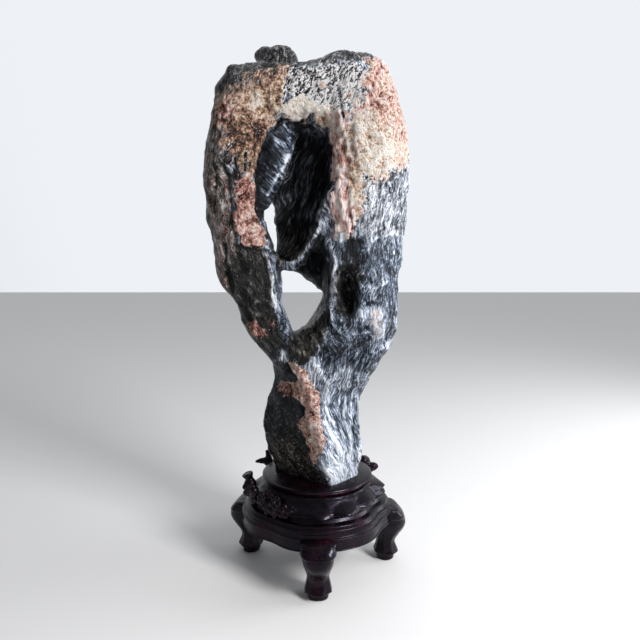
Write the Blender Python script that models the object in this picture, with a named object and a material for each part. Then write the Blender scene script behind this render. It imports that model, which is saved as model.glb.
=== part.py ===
"""A scholars rock on its carved wooden stand.

Metres, +Z up, the front faces -Y. The object stands on the floor at z = 0 and its
bounding box is centred on the Z axis. Tables are in millimetres, in the stand's own
frame, whose axis runs through the middle of the four legs.
"""

import math

import bmesh
import bpy
import numpy as np
from mathutils import Matrix, Vector, geometry, noise

MM = 0.001

# ---- driving dimensions, in millimetres -------------------------------------------

TOTAL_HEIGHT = 620.0
CONTACT_GAP = 0.35
CARVING_GAP = 0.5

SEAT_TOP = 116.0
SEAT_HALF_WIDTH = 67.0
SEAT_HALF_DEPTH = 62.0
RECESS_DEPTH = 7.0
RECESS_MARGIN = 0.8

APRON_BOTTOM = 55.0
UNDERCUT_RADIUS = 66.0
UNDERCUT_TOP = 64.0


# Each leg's bearing from the front, and how much further out its knee and its foot stand.
LEGS = {
    "leg_front": (1.0, 0.0, 0.0),
    "leg_right": (92.0, 0.5, 4.5),
    "leg_back": (181.0, 0.0, 0.0),
    "leg_left": (-104.0, 4.0, 6.0),
}

ROCK_BOTTOM = SEAT_TOP - RECESS_DEPTH + CONTACT_GAP
ROCK_VOXEL = 2.6
ROCK_SMOOTHING = 5
ROCK_TRIANGLES = 5000

# ---- the rock's limbs ---------------------------------------------------------------
# Level slices: (z, x left, x right, y front, y back, x shift of the front crest).

RIGHT_MASS = [
    (608.5, 26, 44, -16, 2, 0),
    (604, 10, 60, -31, 16, 0),
    (593, 2, 74, -42, 28, 0),
    (576, -6, 85, -50, 38, 2),
    (556, -6, 92, -54, 46, 2),
    (530, 6, 99, -57, 52, 0),
    (500, 13, 104, -59, 58, -4),
    (470, 15, 106, -58, 60, -6),
    (437, 13, 105, -55, 56, -8),
    (405, 10, 101, -52, 49, -8),
    (380, 9, 98, -52, 46, -6),
    (354, 8, 94, -55, 48, -4),
    (334, 7, 94, -56, 52, 0),
    (318, 1, 94, -53, 52, 2),
    (303, -8, 94, -49, 49, 6),
    (290, -24, 92, -46, 45, 8),
    (272, -34, 86, -43, 41, 8),
    (252, -38, 74, -41, 39, 6),
    (235, -34, 62, -36, 36, 2),
    (215, -28, 46, -28, 30, 0),
]

LEFT_ARM = [
    (586, -106, -60, -18, 24, 0),
    (568, -112, -42, -36, 33, 0),
    (546, -118, -36, -46, 40, 0),
    (522, -123, -41, -51, 44, 0),
    (503, -127, -54, -53, 45, 2),
    (485, -130, -61, -52, 43, 4),
    (463, -131, -63, -50, 39, 6),
    (440, -130, -63, -46, 34, 8),
    (423, -128, -60, -44, 31, 10),
    (406, -124, -56, -43, 31, 12),
    (390, -121, -52, -43, 33, 12),
    (372, -120, -46, -42, 34, 14),
    (358, -117, -42, -40, 32, 14),
    (346, -112, -41, -37, 28, 12),
    (335, -99, -41, -35, 25, 10),
    (318, -91, -41, -34, 23, 8),
    (304, -89, -38, -35, 24, 8),
    (290, -83, -34, -36, 26, 8),
    (275, -70, -28, -35, 27, 6),
    (260, -54, -20, -34, 28, 2),
    (244, -44, -14, -32, 28, 0),
]

CAVE_WALL = [
    (556, -78, 30, 16, 38, 0),
    (525, -76, 30, 18, 40, 0),
    (495, -70, 30, 16, 41, 0),
    (468, -60, 30, 13, 41, 0),
    (447, -51, 30, 10, 40, 0),
    (427, -50, 30, 8, 38, 0),
    (402, -48, 30, 7, 36, 0),
    (384, -47, 30, 8, 35, 0),
    (370, -46, 30, 8, 35, 0),
    (364, -32, 30, 8, 35, 0),
    (358, -18, 30, 8, 35, 0),
    (350, -7, 30, 8, 35, 0),
    (341, 3, 30, 10, 33, 0),
]

CAVE_CHEEK = [
    (466, 14, 36, -48, 30, 0),
    (450, 7, 36, -45, 30, 0),
    (436, 2, 36, -42, 30, 0),
    (420, -2, 36, -37, 30, 0),
    (405, -7, 34, -31, 30, 0),
    (395, -8, 26, -26, 30, 0),
    (388, 0, 20, -20, 28, 0),
]

KNOB = [
    (590, -74, -12, -8, 32, 0),
    (603, -68, -18, -7, 33, 0),
    (611, -71, -23, -4, 32, 0),
    (617, -66, -29, 0, 29, 0),
    (TOTAL_HEIGHT - 1, -56, -38, 6, 22, 0),
]

# Upright slices across the cap: (x, z low, z high, y front, y back).

CAP = [
    (-114, 552, 570, -6, 12),
    (-107, 543, 585, -25, 25),
    (-93, 535, 593, -38, 31),
    (-70, 529, 596, -46, 34),
    (-46, 524, 596, -50, 36),
    (-20, 523, 597, -50, 37),
    (-2, 524, 598, -48, 38),
    (14, 521, 603, -48, 40),
    (36, 516, 607, -51, 42),
    (58, 516, 601, -50, 43),
]

# Corners of the foot at each level: z, then left, front, right, back right and back left.

FOOT = [
    (100, (-51, 3), (17, -47), (49, -14), (44, 32), (-20, 42)),
    (122, (-55, 3), (16, -50), (51, -16), (46, 35), (-22, 45)),
    (145, (-63, 3), (12, -54), (53, -18), (48, 38), (-25, 48)),
    (182, (-67, 4), (3, -57), (51, -20), (46, 42), (-28, 50)),
    (206, (-64, 4), (-4, -55), (52, -16), (46, 44), (-27, 49)),
    (226, (-54, 6), (-9, -51), (60, -12), (52, 45), (-22, 47)),
    (246, (-53, 6), (-16, -47), (69, -6), (56, 44), (-18, 44)),
    (266, (-56, 6), (-26, -40), (78, 0), (60, 42), (-12, 40)),
    (290, (-50, 6), (-30, -24), (70, 0), (56, 30), (-8, 28)),
]

# Paths with round sections: (x, y, z, radius).

FINGER = [
    (-36, -6, 560, 26),
    (-40, -13, 530, 22),
    (-45, -18, 504, 18),
    (-50, -21, 480, 14.5),
    (-54, -24, 461, 11.5),
    (-57, -26, 447, 8),
    (-59, -27, 437, 5.2),
    (-59.5, -27, 430, 3),
]

CAVE_SILL = [
    (-58, -12, 386, 8),
    (-45, -14, 374, 6.5),
    (-31, -15, 370, 6),
    (-17, -17, 379, 6.5),
    (-9, -20, 392, 7),
    (0, -26, 414, 7),
    (10, -34, 436, 7),
    (22, -36, 456, 6),
]

NECK_RIDGE = [
    (-44, -20, 322, 6),
    (-37, -27, 298, 7),
    (-28, -33, 280, 8),
    (-12, -38, 263, 8.5),
    (6, -38, 246, 8),
    (20, -32, 226, 7),
    (30, -24, 200, 5),
]

# Ellipsoids cut out of the right mass and the left arm, by name: centre, half sizes, tilt about
# Y in degrees.

RIGHT_HOLLOWS = {
    "oval_pocket": ((37, -52, 342), (11, 33, 31), -5),
    "back_pocket": ((44, 62, 452), (19, 26, 52), 12),
    "back_scoop": ((36, 58, 332), (24, 20, 30), -18),
    "side_groove": ((106, 36, 418), (15, 11, 74), -3),
}
LEFT_HOLLOWS = {
    "back_groove": ((-92, 48, 430), (13, 20, 58), -6),
}

# The weathered surface: size and height of each pattern. The furrows follow the rock's own
# spread, given as the middle and half width of its outline at each height.

LUMP_SIZE = 46.0
LUMP_HEIGHT = 4.6
BUMP_SIZE = 19.0
BUMP_HEIGHT = 1.9
FURROW_SPACING = 0.17
FURROW_LENGTH = 85.0
FURROW_HEIGHT = 2.0
FURROW_MEAN = 0.45
SIDE_CALM = 0.4
CALM_BELOW = 132.0
SPREAD = [
    (100, 0, 52),
    (180, -8, 60),
    (215, -2, 58),
    (270, 8, 78),
    (330, -2, 96),
    (400, -11, 112),
    (480, -12, 120),
    (560, -13, 108),
    (625, -13, 96),
]

# ---- the stand ----------------------------------------------------------------------
# Outline of the turned and carved body, from the seat down: z, half width, half depth,
# share of the lobed plan, share of the rocky shoulder.

BODY_PROFILE = [
    (SEAT_TOP, SEAT_HALF_WIDTH - 2.6, SEAT_HALF_DEPTH - 2.6, 0.0, 0.0),
    (SEAT_TOP - 1.2, SEAT_HALF_WIDTH, SEAT_HALF_DEPTH, 0.0, 0.0),
    (SEAT_TOP - 3.6, SEAT_HALF_WIDTH - 1.4, SEAT_HALF_DEPTH - 1.4, 0.0, 0.0),
    (108.6, 64.8, 60.0, 0.1, 0.0),
    (107.4, 66.6, 62.0, 0.2, 0.1),
    (105.6, 67.4, 63.4, 0.3, 0.4),
    (99.0, 71.0, 69.0, 0.6, 1.0),
    (92.0, 75.5, 74.5, 0.9, 1.0),
    (86.5, 78.0, 77.5, 1.0, 0.5),
    (84.6, 80.6, 80.6, 1.0, 0.0),
    (82.0, 81.2, 81.2, 1.0, 0.0),
    (80.6, 79.6, 79.6, 1.0, 0.0),
    (79.6, 82.8, 82.8, 1.0, 0.0),
    (77.2, 83.4, 83.4, 1.0, 0.0),
    (75.8, 81.8, 81.8, 1.0, 0.0),
    (74.8, 86.0, 86.0, 1.0, 0.0),
    (72.4, 86.6, 86.6, 1.0, 0.0),
    (71.0, 84.6, 84.6, 1.0, 0.0),
    (APRON_BOTTOM + 1.4, 87.0, 87.0, 1.0, 0.0),
    (APRON_BOTTOM, 85.8, 85.8, 1.0, 0.0),
]
BODY_SIDES = 48
NOTCH_BEARINGS = (-37.0, 62.0, 140.0, -130.0)
NOTCH_DEPTH = 3.6
NOTCH_WIDTH = 13.0
LOBE_SWELL = 2.2

# Pointed nubs of the shoulder: bearing, z, reach, spread in degrees, spread in z.
SHOULDER_NUBS = [
    (52.0, 93.0, 7.5, 13.0, 6.0),
    (24.0, 90.0, 6.0, 10.0, 5.0),
    (2.0, 89.0, 5.5, 9.0, 4.5),
    (-22.0, 92.0, 4.0, 12.0, 6.0),
    (-62.0, 92.0, 6.0, 12.0, 6.0),
    (86.0, 97.0, 11.0, 17.0, 9.0),
    (112.0, 91.0, 6.5, 12.0, 6.0),
    (158.0, 93.0, 5.5, 13.0, 6.0),
    (-158.0, 91.0, 6.0, 12.0, 6.0),
    (-112.0, 95.0, 4.5, 12.0, 6.0),
]

# Legs, from the top down: z, inner radius, outer radius, half width across.
LEG_PROFILE = [
    (75.0, 78, 90, 13.0),
    (73.0, 74, 95.5, 16.8),
    (68.0, 70, 102, 18.6),
    (60.0, 68, 108, 19.0),
    (52.5, 67, 109.5, 18.4),
    (46.0, 68, 106.5, 16.4),
    (40.0, 70, 101, 13.6),
    (33.0, 71.5, 93, 11.2),
    (25.0, 72, 87.5, 10.2),
    (20.0, 72, 87, 10.4),
    (14.5, 70, 90, 12.0),
    (8.0, 68, 94.5, 13.2),
    (3.4, 68, 96, 13.6),
    (2.8, 69.5, 94.5, 12.4),
    (0.0, 70.5, 93.5, 11.8),
]
LEG_SIDES = 12
ANKLE_LEVEL = 25.0
KNEE_LEVEL = 55.0

# Carved pieces on the shoulder: paths of (x, y, z, radius).
BRANCH_STUB = [
    (-72, -24, 84, 9.0),
    (-74.5, -25, 92, 8.0),
    (-76.5, -26, 97, 6.2),
    (-78, -26.5, 102, 7.4),
    (-79, -27, 107, 6.4),
    (-80, -27, 111, 4.4),
    (-81.5, -27, 116, 4.2),
    (-83, -27, 120, 6.2),
    (-84, -27, 123, 7.4),
]
BRANCH_KNOTS = [(-73, -32, 100, 4.4), (-83, -21, 106, 3.8), (-86, -28, 99, 3.6)]
BLOSSOMS = [
    (-62, -44, 101, 7.5),
    (-55, -53, 96, 8.0),
    (-47, -60, 93, 8.2),
    (-37, -65, 92, 7.8),
    (-52, -49, 104, 7.2),
    (-43, -56, 102, 7.8),
    (-33, -61, 100, 6.6),
    (-60, -53, 90, 6.4),
    (-29, -68, 92, 5.6),
]
FUNGUS_LEFT = [
    (-54, 42, 100, 6.0),
    (-62, 46, 106, 5.5),
    (-70, 47, 109.5, 4.8),
    (-77, 47, 109.5, 3.2),
    (-83, 47, 108, 1.4),
]
FUNGUS_LEFT_SHOOT = [(-60, 46, 104, 5.0), (-64, 47, 113, 4.0), (-66, 47, 121, 3.4), (-67, 47, 125, 2.2)]
FUNGUS_RIGHT = [(50, 42, 98, 8.0), (58, 44, 106, 8.5), (63, 45, 112, 8.0), (65, 45, 116, 5.5)]
FUNGUS_RIGHT_LOBE = [(60, 43, 98, 7.0), (69, 43, 102, 6.8), (76, 43, 104, 5.2), (81, 43, 104.5, 2.4)]
CARVING_VOXEL = 1.5
CARVING_TRIANGLES = {
    "branch_stub": 230,
    "blossom_spray": 330,
    "fungus_left": 130,
    "fungus_right": 170,
}


# ---- small helpers ------------------------------------------------------------------


def clear_scene():
    for item in list(bpy.data.objects):
        bpy.data.objects.remove(item, do_unlink=True)


def material(name, colour, roughness, coat=0.0):
    made = bpy.data.materials.new(name)
    made.use_nodes = True
    shader = made.node_tree.nodes["Principled BSDF"]
    shader.inputs["Base Color"].default_value = (*colour, 1.0)
    shader.inputs["Roughness"].default_value = roughness
    shader.inputs["Metallic"].default_value = 0.0
    shader.inputs["Coat Weight"].default_value = coat
    return made


def new_object(name, mesh, parent=None, surface=None):
    made = bpy.data.objects.new(name, mesh)
    bpy.context.scene.collection.objects.link(made)
    made.parent = parent
    if surface:
        mesh.materials.append(surface)
    return made


def superellipse(sides, squareness):
    """Points on a rounded box of half size 1, anticlockwise, as (cosine, sine) pairs."""
    points = []
    for step in range(sides):
        angle = 2 * math.pi * step / sides
        c, s = math.cos(angle), math.sin(angle)
        power = 2 / squareness
        points.append((math.copysign(abs(c) ** power, c), math.copysign(abs(s) ** power, s)))
    return points


def loft(rings):
    """A closed mesh through rings of equal length, with a flat face on each end."""
    mesh = bpy.data.meshes.new("loft")
    shape = bmesh.new()
    rows = [[shape.verts.new(Vector(point) * MM) for point in ring] for ring in rings]
    for low, high in zip(rows, rows[1:]):
        for here in range(len(low)):
            after = (here + 1) % len(low)
            shape.faces.new((low[here], low[after], high[after]))
            shape.faces.new((low[here], high[after], high[here]))
    shape.faces.new(rows[0][::-1])
    shape.faces.new(rows[-1])
    bmesh.ops.recalc_face_normals(shape, faces=shape.faces)
    shape.to_mesh(mesh)
    shape.free()
    return mesh


def level_slices(stations, sides=28, squareness=2.4):
    rings = []
    for z, left, right, front, back, crest in stations:
        middle = ((left + right) / 2, (front + back) / 2)
        half = ((right - left) / 2, (back - front) / 2)
        ring = []
        for c, s in superellipse(sides, squareness):
            lean = crest * max(-s, 0) ** 2
            ring.append((middle[0] + half[0] * c + lean, middle[1] + half[1] * s, z))
        rings.append(ring)
    return loft(rings)


def upright_slices(stations, sides=28, squareness=2.4):
    rings = []
    for x, low, high, front, back in stations:
        middle = ((front + back) / 2, (low + high) / 2)
        half = ((back - front) / 2, (high - low) / 2)
        pairs = superellipse(sides, squareness)
        rings.append([(x, middle[0] + half[0] * c, middle[1] + half[1] * s) for c, s in pairs])
    return loft(rings)


def round_path(stations, sides=14):
    """A closed tube of varying radius along a path."""
    centres = [Vector(station[:3]) for station in stations]
    rings = []
    for index, (centre, station) in enumerate(zip(centres, stations)):
        ahead = centres[min(index + 1, len(centres) - 1)]
        behind = centres[max(index - 1, 0)]
        along = (ahead - behind).normalized()
        across = along.cross(Vector((0, 1, 0))).normalized()
        depth = across.cross(along)
        rings.append(
            [centre + station[3] * (c * across + s * depth) for c, s in superellipse(sides, 2.0)]
        )
    return loft(rings)


def ball(centre, radius):
    mesh = bpy.data.meshes.new("ball")
    shape = bmesh.new()
    place = Matrix.Translation(Vector(centre) * MM)
    bmesh.ops.create_icosphere(shape, subdivisions=3, radius=radius * MM, matrix=place)
    shape.to_mesh(mesh)
    shape.free()
    return mesh


def joined(meshes):
    """All of the meshes' faces in one new mesh, still as overlapping shells."""
    shape = bmesh.new()
    for mesh in meshes:
        shape.from_mesh(mesh)
    whole = bpy.data.meshes.new("joined")
    shape.to_mesh(whole)
    shape.free()
    return whole


def evaluated(item):
    """The object's mesh with its modifiers applied, as a new mesh."""
    bpy.context.view_layer.update()
    graph = bpy.context.evaluated_depsgraph_get()
    return bpy.data.meshes.new_from_object(item.evaluated_get(graph))


def fused(mesh, voxel, smoothing):
    """One skin round the overlapping shells, smoothed."""
    item = new_object("shells", mesh)
    remesh = item.modifiers.new("Skin", "REMESH")
    remesh.mode = "VOXEL"
    remesh.voxel_size = voxel * MM
    if smoothing:
        smooth = item.modifiers.new("Smooth", "SMOOTH")
        smooth.factor = 0.5
        smooth.iterations = smoothing
    result = evaluated(item)
    bpy.data.objects.remove(item, do_unlink=True)
    return result


def cutter(name, mesh):
    item = new_object(name, mesh)
    item.hide_render = True
    item.display_type = "WIRE"
    return item


def cut(mesh, cutters):
    """The mesh with each cutter's volume taken away."""
    item = new_object("cut", mesh)
    for tool in cutters:
        boolean = item.modifiers.new(tool.name, "BOOLEAN")
        boolean.operation = "DIFFERENCE"
        boolean.object = tool
    result = evaluated(item)
    bpy.data.objects.remove(item, do_unlink=True)
    return result


def thinned(mesh, triangles):
    """The mesh brought down to about this many triangles."""
    mesh.calc_loop_triangles()
    item = new_object("thinned", mesh)
    decimate = item.modifiers.new("Decimate", "DECIMATE")
    decimate.ratio = triangles / len(mesh.loop_triangles)
    decimate.use_collapse_triangulate = True
    result = evaluated(item)
    bpy.data.objects.remove(item, do_unlink=True)
    return result


def sliced_below(mesh, height):
    """The mesh above this height, closed by a flat face."""
    shape = bmesh.new()
    shape.from_mesh(mesh)
    everything = shape.verts[:] + shape.edges[:] + shape.faces[:]
    bmesh.ops.bisect_plane(
        shape,
        geom=everything,
        plane_co=(0, 0, height * MM),
        plane_no=(0, 0, 1),
        clear_inner=True,
    )
    rim = [edge for edge in shape.edges if edge.is_boundary]
    bmesh.ops.edgeloop_fill(shape, edges=rim)
    bmesh.ops.triangulate(shape, faces=shape.faces)
    bmesh.ops.recalc_face_normals(shape, faces=shape.faces)
    shape.to_mesh(mesh)
    shape.free()


# ---- the rock -----------------------------------------------------------------------


def ellipsoid(name, centre, half_sizes, tilt):
    mesh = bpy.data.meshes.new(name)
    shape = bmesh.new()
    place = Matrix.Translation(Vector(centre) * MM) @ Matrix.Rotation(math.radians(tilt), 4, "Y")
    size = Matrix.Diagonal((*(Vector(half_sizes) * MM), 1))
    bmesh.ops.create_icosphere(shape, subdivisions=3, radius=1, matrix=place @ size)
    shape.to_mesh(mesh)
    shape.free()
    return cutter(name, mesh)


def foot_mesh():
    return loft([[(x, y, z) for x, y in corners] for z, *corners in FOOT])


def flow_coordinates(x, z):
    """Across and along the lines that spread with the rock's outline."""
    levels, middles, halves = zip(*SPREAD)
    return (x - np.interp(z, levels, middles)) / np.interp(z, levels, halves), z


def weather(mesh):
    """Moves each point along its normal: broad lumps, smaller bumps and furrows along the
    flow. The outline's sides move less than the front and back, and the foot keeps its shape."""
    normals = [vertex.normal.copy() for vertex in mesh.vertices]
    moved = []
    for vertex, normal in zip(mesh.vertices, normals):
        point = vertex.co
        x, y, z = point / MM
        calm = min(max((z - SEAT_TOP - 2) / (CALM_BELOW - SEAT_TOP), 0), 1)
        across, along = flow_coordinates(x, z)
        stretched = Vector((across / FURROW_SPACING, y / 30, along / FURROW_LENGTH))
        furrow = 1 - 2 * abs(noise.noise(stretched)) - FURROW_MEAN
        lump = noise.noise(point / (LUMP_SIZE * MM) + Vector((3.1, 0.7, 5.2)))
        bump = noise.noise(point / (BUMP_SIZE * MM) + Vector((9.4, 2.5, 1.1)))
        move = LUMP_HEIGHT * lump + FURROW_HEIGHT * furrow + BUMP_HEIGHT * bump
        share = SIDE_CALM + (1 - SIDE_CALM) * abs(normal.y)
        moved.extend(point + normal * move * share * MM * calm)
    mesh.vertices.foreach_set("co", moved)


def hollowed(mesh, hollows):
    return cut(mesh, [ellipsoid("cut_" + name, *shape) for name, shape in hollows.items()])


def rock_mesh():
    limbs = [
        hollowed(level_slices(RIGHT_MASS, squareness=2.4), RIGHT_HOLLOWS),
        hollowed(level_slices(LEFT_ARM, squareness=2.2), LEFT_HOLLOWS),
        level_slices(CAVE_WALL, squareness=3.0),
        level_slices(CAVE_CHEEK, squareness=2.6),
        level_slices(KNOB, squareness=2.3),
        upright_slices(CAP, squareness=2.4),
        foot_mesh(),
        round_path(FINGER),
        round_path(CAVE_SILL),
        round_path(NECK_RIDGE),
    ]
    whole = fused(joined(limbs), ROCK_VOXEL, ROCK_SMOOTHING)
    weather(whole)
    whole = thinned(whole, ROCK_TRIANGLES)
    sliced_below(whole, ROCK_BOTTOM)
    return whole


def foot_outline(rock):
    """Corners of the convex outline of all of the rock that is sunk in the seat."""
    sunk = bmesh.new()
    sunk.from_mesh(rock)
    everything = sunk.verts[:] + sunk.edges[:] + sunk.faces[:]
    bmesh.ops.bisect_plane(
        sunk,
        geom=everything,
        plane_co=(0, 0, SEAT_TOP * MM),
        plane_no=(0, 0, 1),
        clear_outer=True,
    )
    points = [Vector((vertex.co.x, vertex.co.y)) / MM for vertex in sunk.verts]
    sunk.free()
    return [points[corner] for corner in geometry.convex_hull_2d(points)]


def recess_cutter(rock):
    """The rock's foot outline, a little larger, from the recess floor up past the seat."""
    outline = foot_outline(rock)
    middle = sum(outline, Vector((0, 0))) / len(outline)
    grown = [corner + (corner - middle).normalized() * RECESS_MARGIN for corner in outline]
    bottom, top = SEAT_TOP - RECESS_DEPTH, SEAT_TOP + 5
    return cutter("cut_recess", loft([[(p.x, p.y, z) for p in grown] for z in (bottom, top)]))


# ---- the stand ----------------------------------------------------------------------


def bearing_gap(a, b):
    return (a - b + 180) % 360 - 180


def lobe_offset(bearing):
    """How far the lobed plan stands out from the round one at this bearing."""
    notch = sum(
        math.exp(-((bearing_gap(bearing, middle) / NOTCH_WIDTH) ** 2)) for middle in NOTCH_BEARINGS
    )
    return LOBE_SWELL - (NOTCH_DEPTH + LOBE_SWELL) * notch


def shoulder_offset(bearing, z):
    """The carved rocky surface of the shoulder: its pointed nubs and the hollows between."""
    reach = -1.5
    for middle, level, height, wide, tall in SHOULDER_NUBS:
        spread = abs(bearing_gap(bearing, middle) / wide) + abs((z - level) / tall)
        reach = max(reach, height * (1 - spread) if spread < 1.3 else reach)
    turn = math.radians(bearing)
    wave = noise.noise(Vector((3 * math.cos(turn), 3 * math.sin(turn), z / 9)))
    return reach + 2.0 * wave


def body_rings(margin=0.0):
    rings = []
    for z, half_width, half_depth, lobed, rocky in BODY_PROFILE:
        ring = []
        for step in range(BODY_SIDES):
            bearing = 360 * step / BODY_SIDES
            turn = math.radians(bearing)
            extra = margin + lobed * lobe_offset(bearing) + rocky * shoulder_offset(bearing, z)
            x = (half_width + extra) * math.sin(turn)
            y = -(half_depth + extra) * math.cos(turn)
            ring.append((x, y, z))
        rings.append(ring)
    return rings


def stand_cutter():
    """The solid outer shape of the body, grown by the contact gap, which the carvings and
    legs are cut by so that they fit against it."""
    rings = body_rings(CARVING_GAP)
    first = [(x, y, z + CARVING_GAP) for x, y, z in rings[0]]
    last = [(x, y, z - CARVING_GAP) for x, y, z in rings[-1]]
    return cutter("cut_stand", loft([first] + rings[1:-1] + [last]))


def undercut():
    """The shallow hollow under the body, open at the bottom."""
    rings = []
    for radius, z in ((UNDERCUT_RADIUS, APRON_BOTTOM - 3), (UNDERCUT_RADIUS - 4, UNDERCUT_TOP)):
        rings.append([(radius * c, radius * s, z) for c, s in superellipse(32, 2.0)])
    return cutter("cut_underside", loft(rings))


def leg_mesh(bearing, knee_shift, foot_shift):
    turn = math.radians(bearing)
    outward = Vector((math.sin(turn), -math.cos(turn), 0))
    across = Vector((math.cos(turn), math.sin(turn), 0))
    rings = []
    for z, inner, outer, half_width in LEG_PROFILE:
        shift = np.interp(z, (ANKLE_LEVEL, KNEE_LEVEL), (foot_shift, knee_shift))
        centre = outward * ((inner + outer) / 2 + shift) + Vector((0, 0, z))
        half_reach = (outer - inner) / 2
        rings.append(
            [
                centre + half_reach * c * outward + half_width * s * across
                for c, s in superellipse(LEG_SIDES, 2.5)
            ]
        )
    return loft(rings)


def carving_mesh(name, shells, body):
    whole = fused(joined(shells), CARVING_VOXEL, 2)
    whole = thinned(whole, CARVING_TRIANGLES[name])
    return cut(whole, [body])


# ---- assembly -----------------------------------------------------------------------


def centre_on_axis(holder, pieces):
    """Moves the holder so that the bounding box of all pieces is centred on the Z axis."""
    corners = np.concatenate(
        [np.array([vertex.co for vertex in piece.data.vertices]) for piece in pieces]
    )
    middle = (corners.min(axis=0) + corners.max(axis=0)) / 2
    holder.location = (-middle[0], -middle[1], 0)


def main():
    clear_scene()
    bpy.context.scene.unit_settings.system = "METRIC"
    stone = material("stone", (0.075, 0.08, 0.085), 0.62)
    lacquer = material("lacquered_rosewood", (0.022, 0.008, 0.009), 0.28, coat=0.4)
    holder = bpy.data.objects.new("scholars_rock", None)
    bpy.context.scene.collection.objects.link(holder)

    rock = rock_mesh()
    body_cutter = stand_cutter()
    pieces = {"rock": rock}
    pieces["stand_body"] = cut(loft(body_rings()), [recess_cutter(rock), undercut()])
    for name, placing in LEGS.items():
        pieces[name] = cut(leg_mesh(*placing), [body_cutter])
    knots = [ball(knot[:3], knot[3]) for knot in BRANCH_KNOTS]
    pieces["branch_stub"] = carving_mesh("branch_stub", [round_path(BRANCH_STUB)] + knots, body_cutter)
    blooms = [ball(bloom[:3], bloom[3]) for bloom in BLOSSOMS]
    pieces["blossom_spray"] = carving_mesh("blossom_spray", blooms, body_cutter)
    shoots = [round_path(FUNGUS_LEFT), round_path(FUNGUS_LEFT_SHOOT)]
    pieces["fungus_left"] = carving_mesh("fungus_left", shoots, body_cutter)
    lobes = [round_path(FUNGUS_RIGHT), round_path(FUNGUS_RIGHT_LOBE)]
    pieces["fungus_right"] = carving_mesh("fungus_right", lobes, body_cutter)

    objects = []
    for name, mesh in pieces.items():
        mesh.name = name
        mesh.materials.clear()
        surface = stone if name == "rock" else lacquer
        item = new_object(name, mesh, holder, surface)
        mesh.shade_smooth()
        mesh.set_sharp_from_angle(angle=math.radians(40))
        objects.append(item)
    centre_on_axis(holder, objects)


main()
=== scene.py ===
"""The looks of a scholars rock on its carved wooden stand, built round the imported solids."""

import math

import bmesh
import bpy
import numpy as np
from mathutils import Matrix, Vector, geometry


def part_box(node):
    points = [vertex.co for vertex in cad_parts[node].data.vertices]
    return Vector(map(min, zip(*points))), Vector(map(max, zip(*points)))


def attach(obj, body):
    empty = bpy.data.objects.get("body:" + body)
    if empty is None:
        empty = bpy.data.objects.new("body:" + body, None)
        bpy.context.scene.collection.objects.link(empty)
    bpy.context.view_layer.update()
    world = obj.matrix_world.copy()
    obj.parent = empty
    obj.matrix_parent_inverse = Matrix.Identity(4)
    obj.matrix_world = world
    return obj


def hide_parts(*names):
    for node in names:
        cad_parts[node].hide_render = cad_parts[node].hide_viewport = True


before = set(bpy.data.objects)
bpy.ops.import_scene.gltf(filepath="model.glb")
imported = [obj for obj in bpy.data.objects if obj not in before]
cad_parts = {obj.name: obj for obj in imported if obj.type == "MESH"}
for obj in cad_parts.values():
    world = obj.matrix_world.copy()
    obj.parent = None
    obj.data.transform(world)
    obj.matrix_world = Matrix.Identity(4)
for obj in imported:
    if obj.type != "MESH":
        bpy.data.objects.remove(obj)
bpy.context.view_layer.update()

MM = 0.001

# ---- the camera, as the photograph was taken ----

CAMERA_PLACE = (0.0036, -0.688, 0.397)
CAMERA_PITCH_DOWN = 7.6
CAMERA_LENS = 32.34

# ---- the rock, in millimetres from the stand's axis ----
# Places on the front are (x, z).

ROCK_VOXEL = 2.0
ROCK_SMOOTHING = 3
SEAT_TOP = 116.0
# Just above the seat the rock has no relief.
CALM_HEIGHT = 14.0
# The front's looks end softly at this depth, and the back's begin.
FRONT_DEPTH = 16.0
FRONT_EDGE_SOFTNESS = 9.0
FINGER_BACK = 2.0
CAVE_FRONT = -12.0

# Heights of the relief.
CREST_HEIGHT = 1.7
THREAD_HEIGHT = 0.9
BACK_FOLD_HEIGHT = 3.2
CAVE_FOLD_HEIGHT = 2.2
FINGER_RIDGE_HEIGHT = 0.9
CRUST_HEIGHT = 1.0
CRUST_LUMP_HEIGHT = 1.6
SCAR_DEPTH = 2.0
SCAR_HALF_WIDTH = 1.9
# Noises that are added up: height and size of each.
BROAD_BUMPS = [(1.3, 26), (0.9, 12)]
LINE_WANDER = [(9, 60), (5, 24), (2, 10)]
EDGE_WOBBLE = [(4.5, 13), (2.8, 5.5)]

# Below FOOT_TOP the lines on the foot's front lean over by FOOT_LEAN degrees, and by FOOT_LEAN_LOSS
# less at the right. They turn about the level of LEAN_PIVOT.
FOOT_TOP = 198.0
FOOT_LEAN = 42.0
FOOT_LEAN_LOSS = 34.0
LEAN_PIVOT = 200.0

# Patterns are as coarse as they would be on a rock of this half width.
COMMON_HALF_WIDTH = 90.0
# The lines of the stone spread with its outline: z, their middle and their half width.
SPREAD = [
    (100, 30, 52),
    (180, 4, 58),
    (215, 0, 58),
    (270, 8, 78),
    (330, -2, 96),
    (400, -11, 112),
    (480, -12, 120),
    (560, -13, 108),
    (625, -13, 96),
]

FINGER_OUTLINE = [
    (-12, 532), (-21, 525), (-29, 500), (-36, 481), (-42, 461), (-50, 443), (-54, 428),
    (-64, 430), (-66, 450), (-64, 474), (-60, 494), (-50, 514), (-38, 528),
]
CAVE_OUTLINE = [
    (-38, 530), (-23, 527), (-10, 524), (-6, 532), (-1, 522), (6, 520), (14, 522), (17, 500),
    (17, 470), (18, 455), (12, 436), (0, 412), (-8, 392), (-20, 378), (-46, 374), (-58, 400),
    (-62, 440), (-68, 470), (-60, 500),
]

# How a patch of the surface looks. Of the bare stone: how light it is, how brown, and how far its
# pattern is drawn out along the lines. Of the crust: how much it covers, how pink and how much lighter.
LOOKS = {"light": 0.46, "earth": 0.15, "streak": 1.0, "crust": 0.0, "blush": 0.3, "bright": 0.0}

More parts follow.
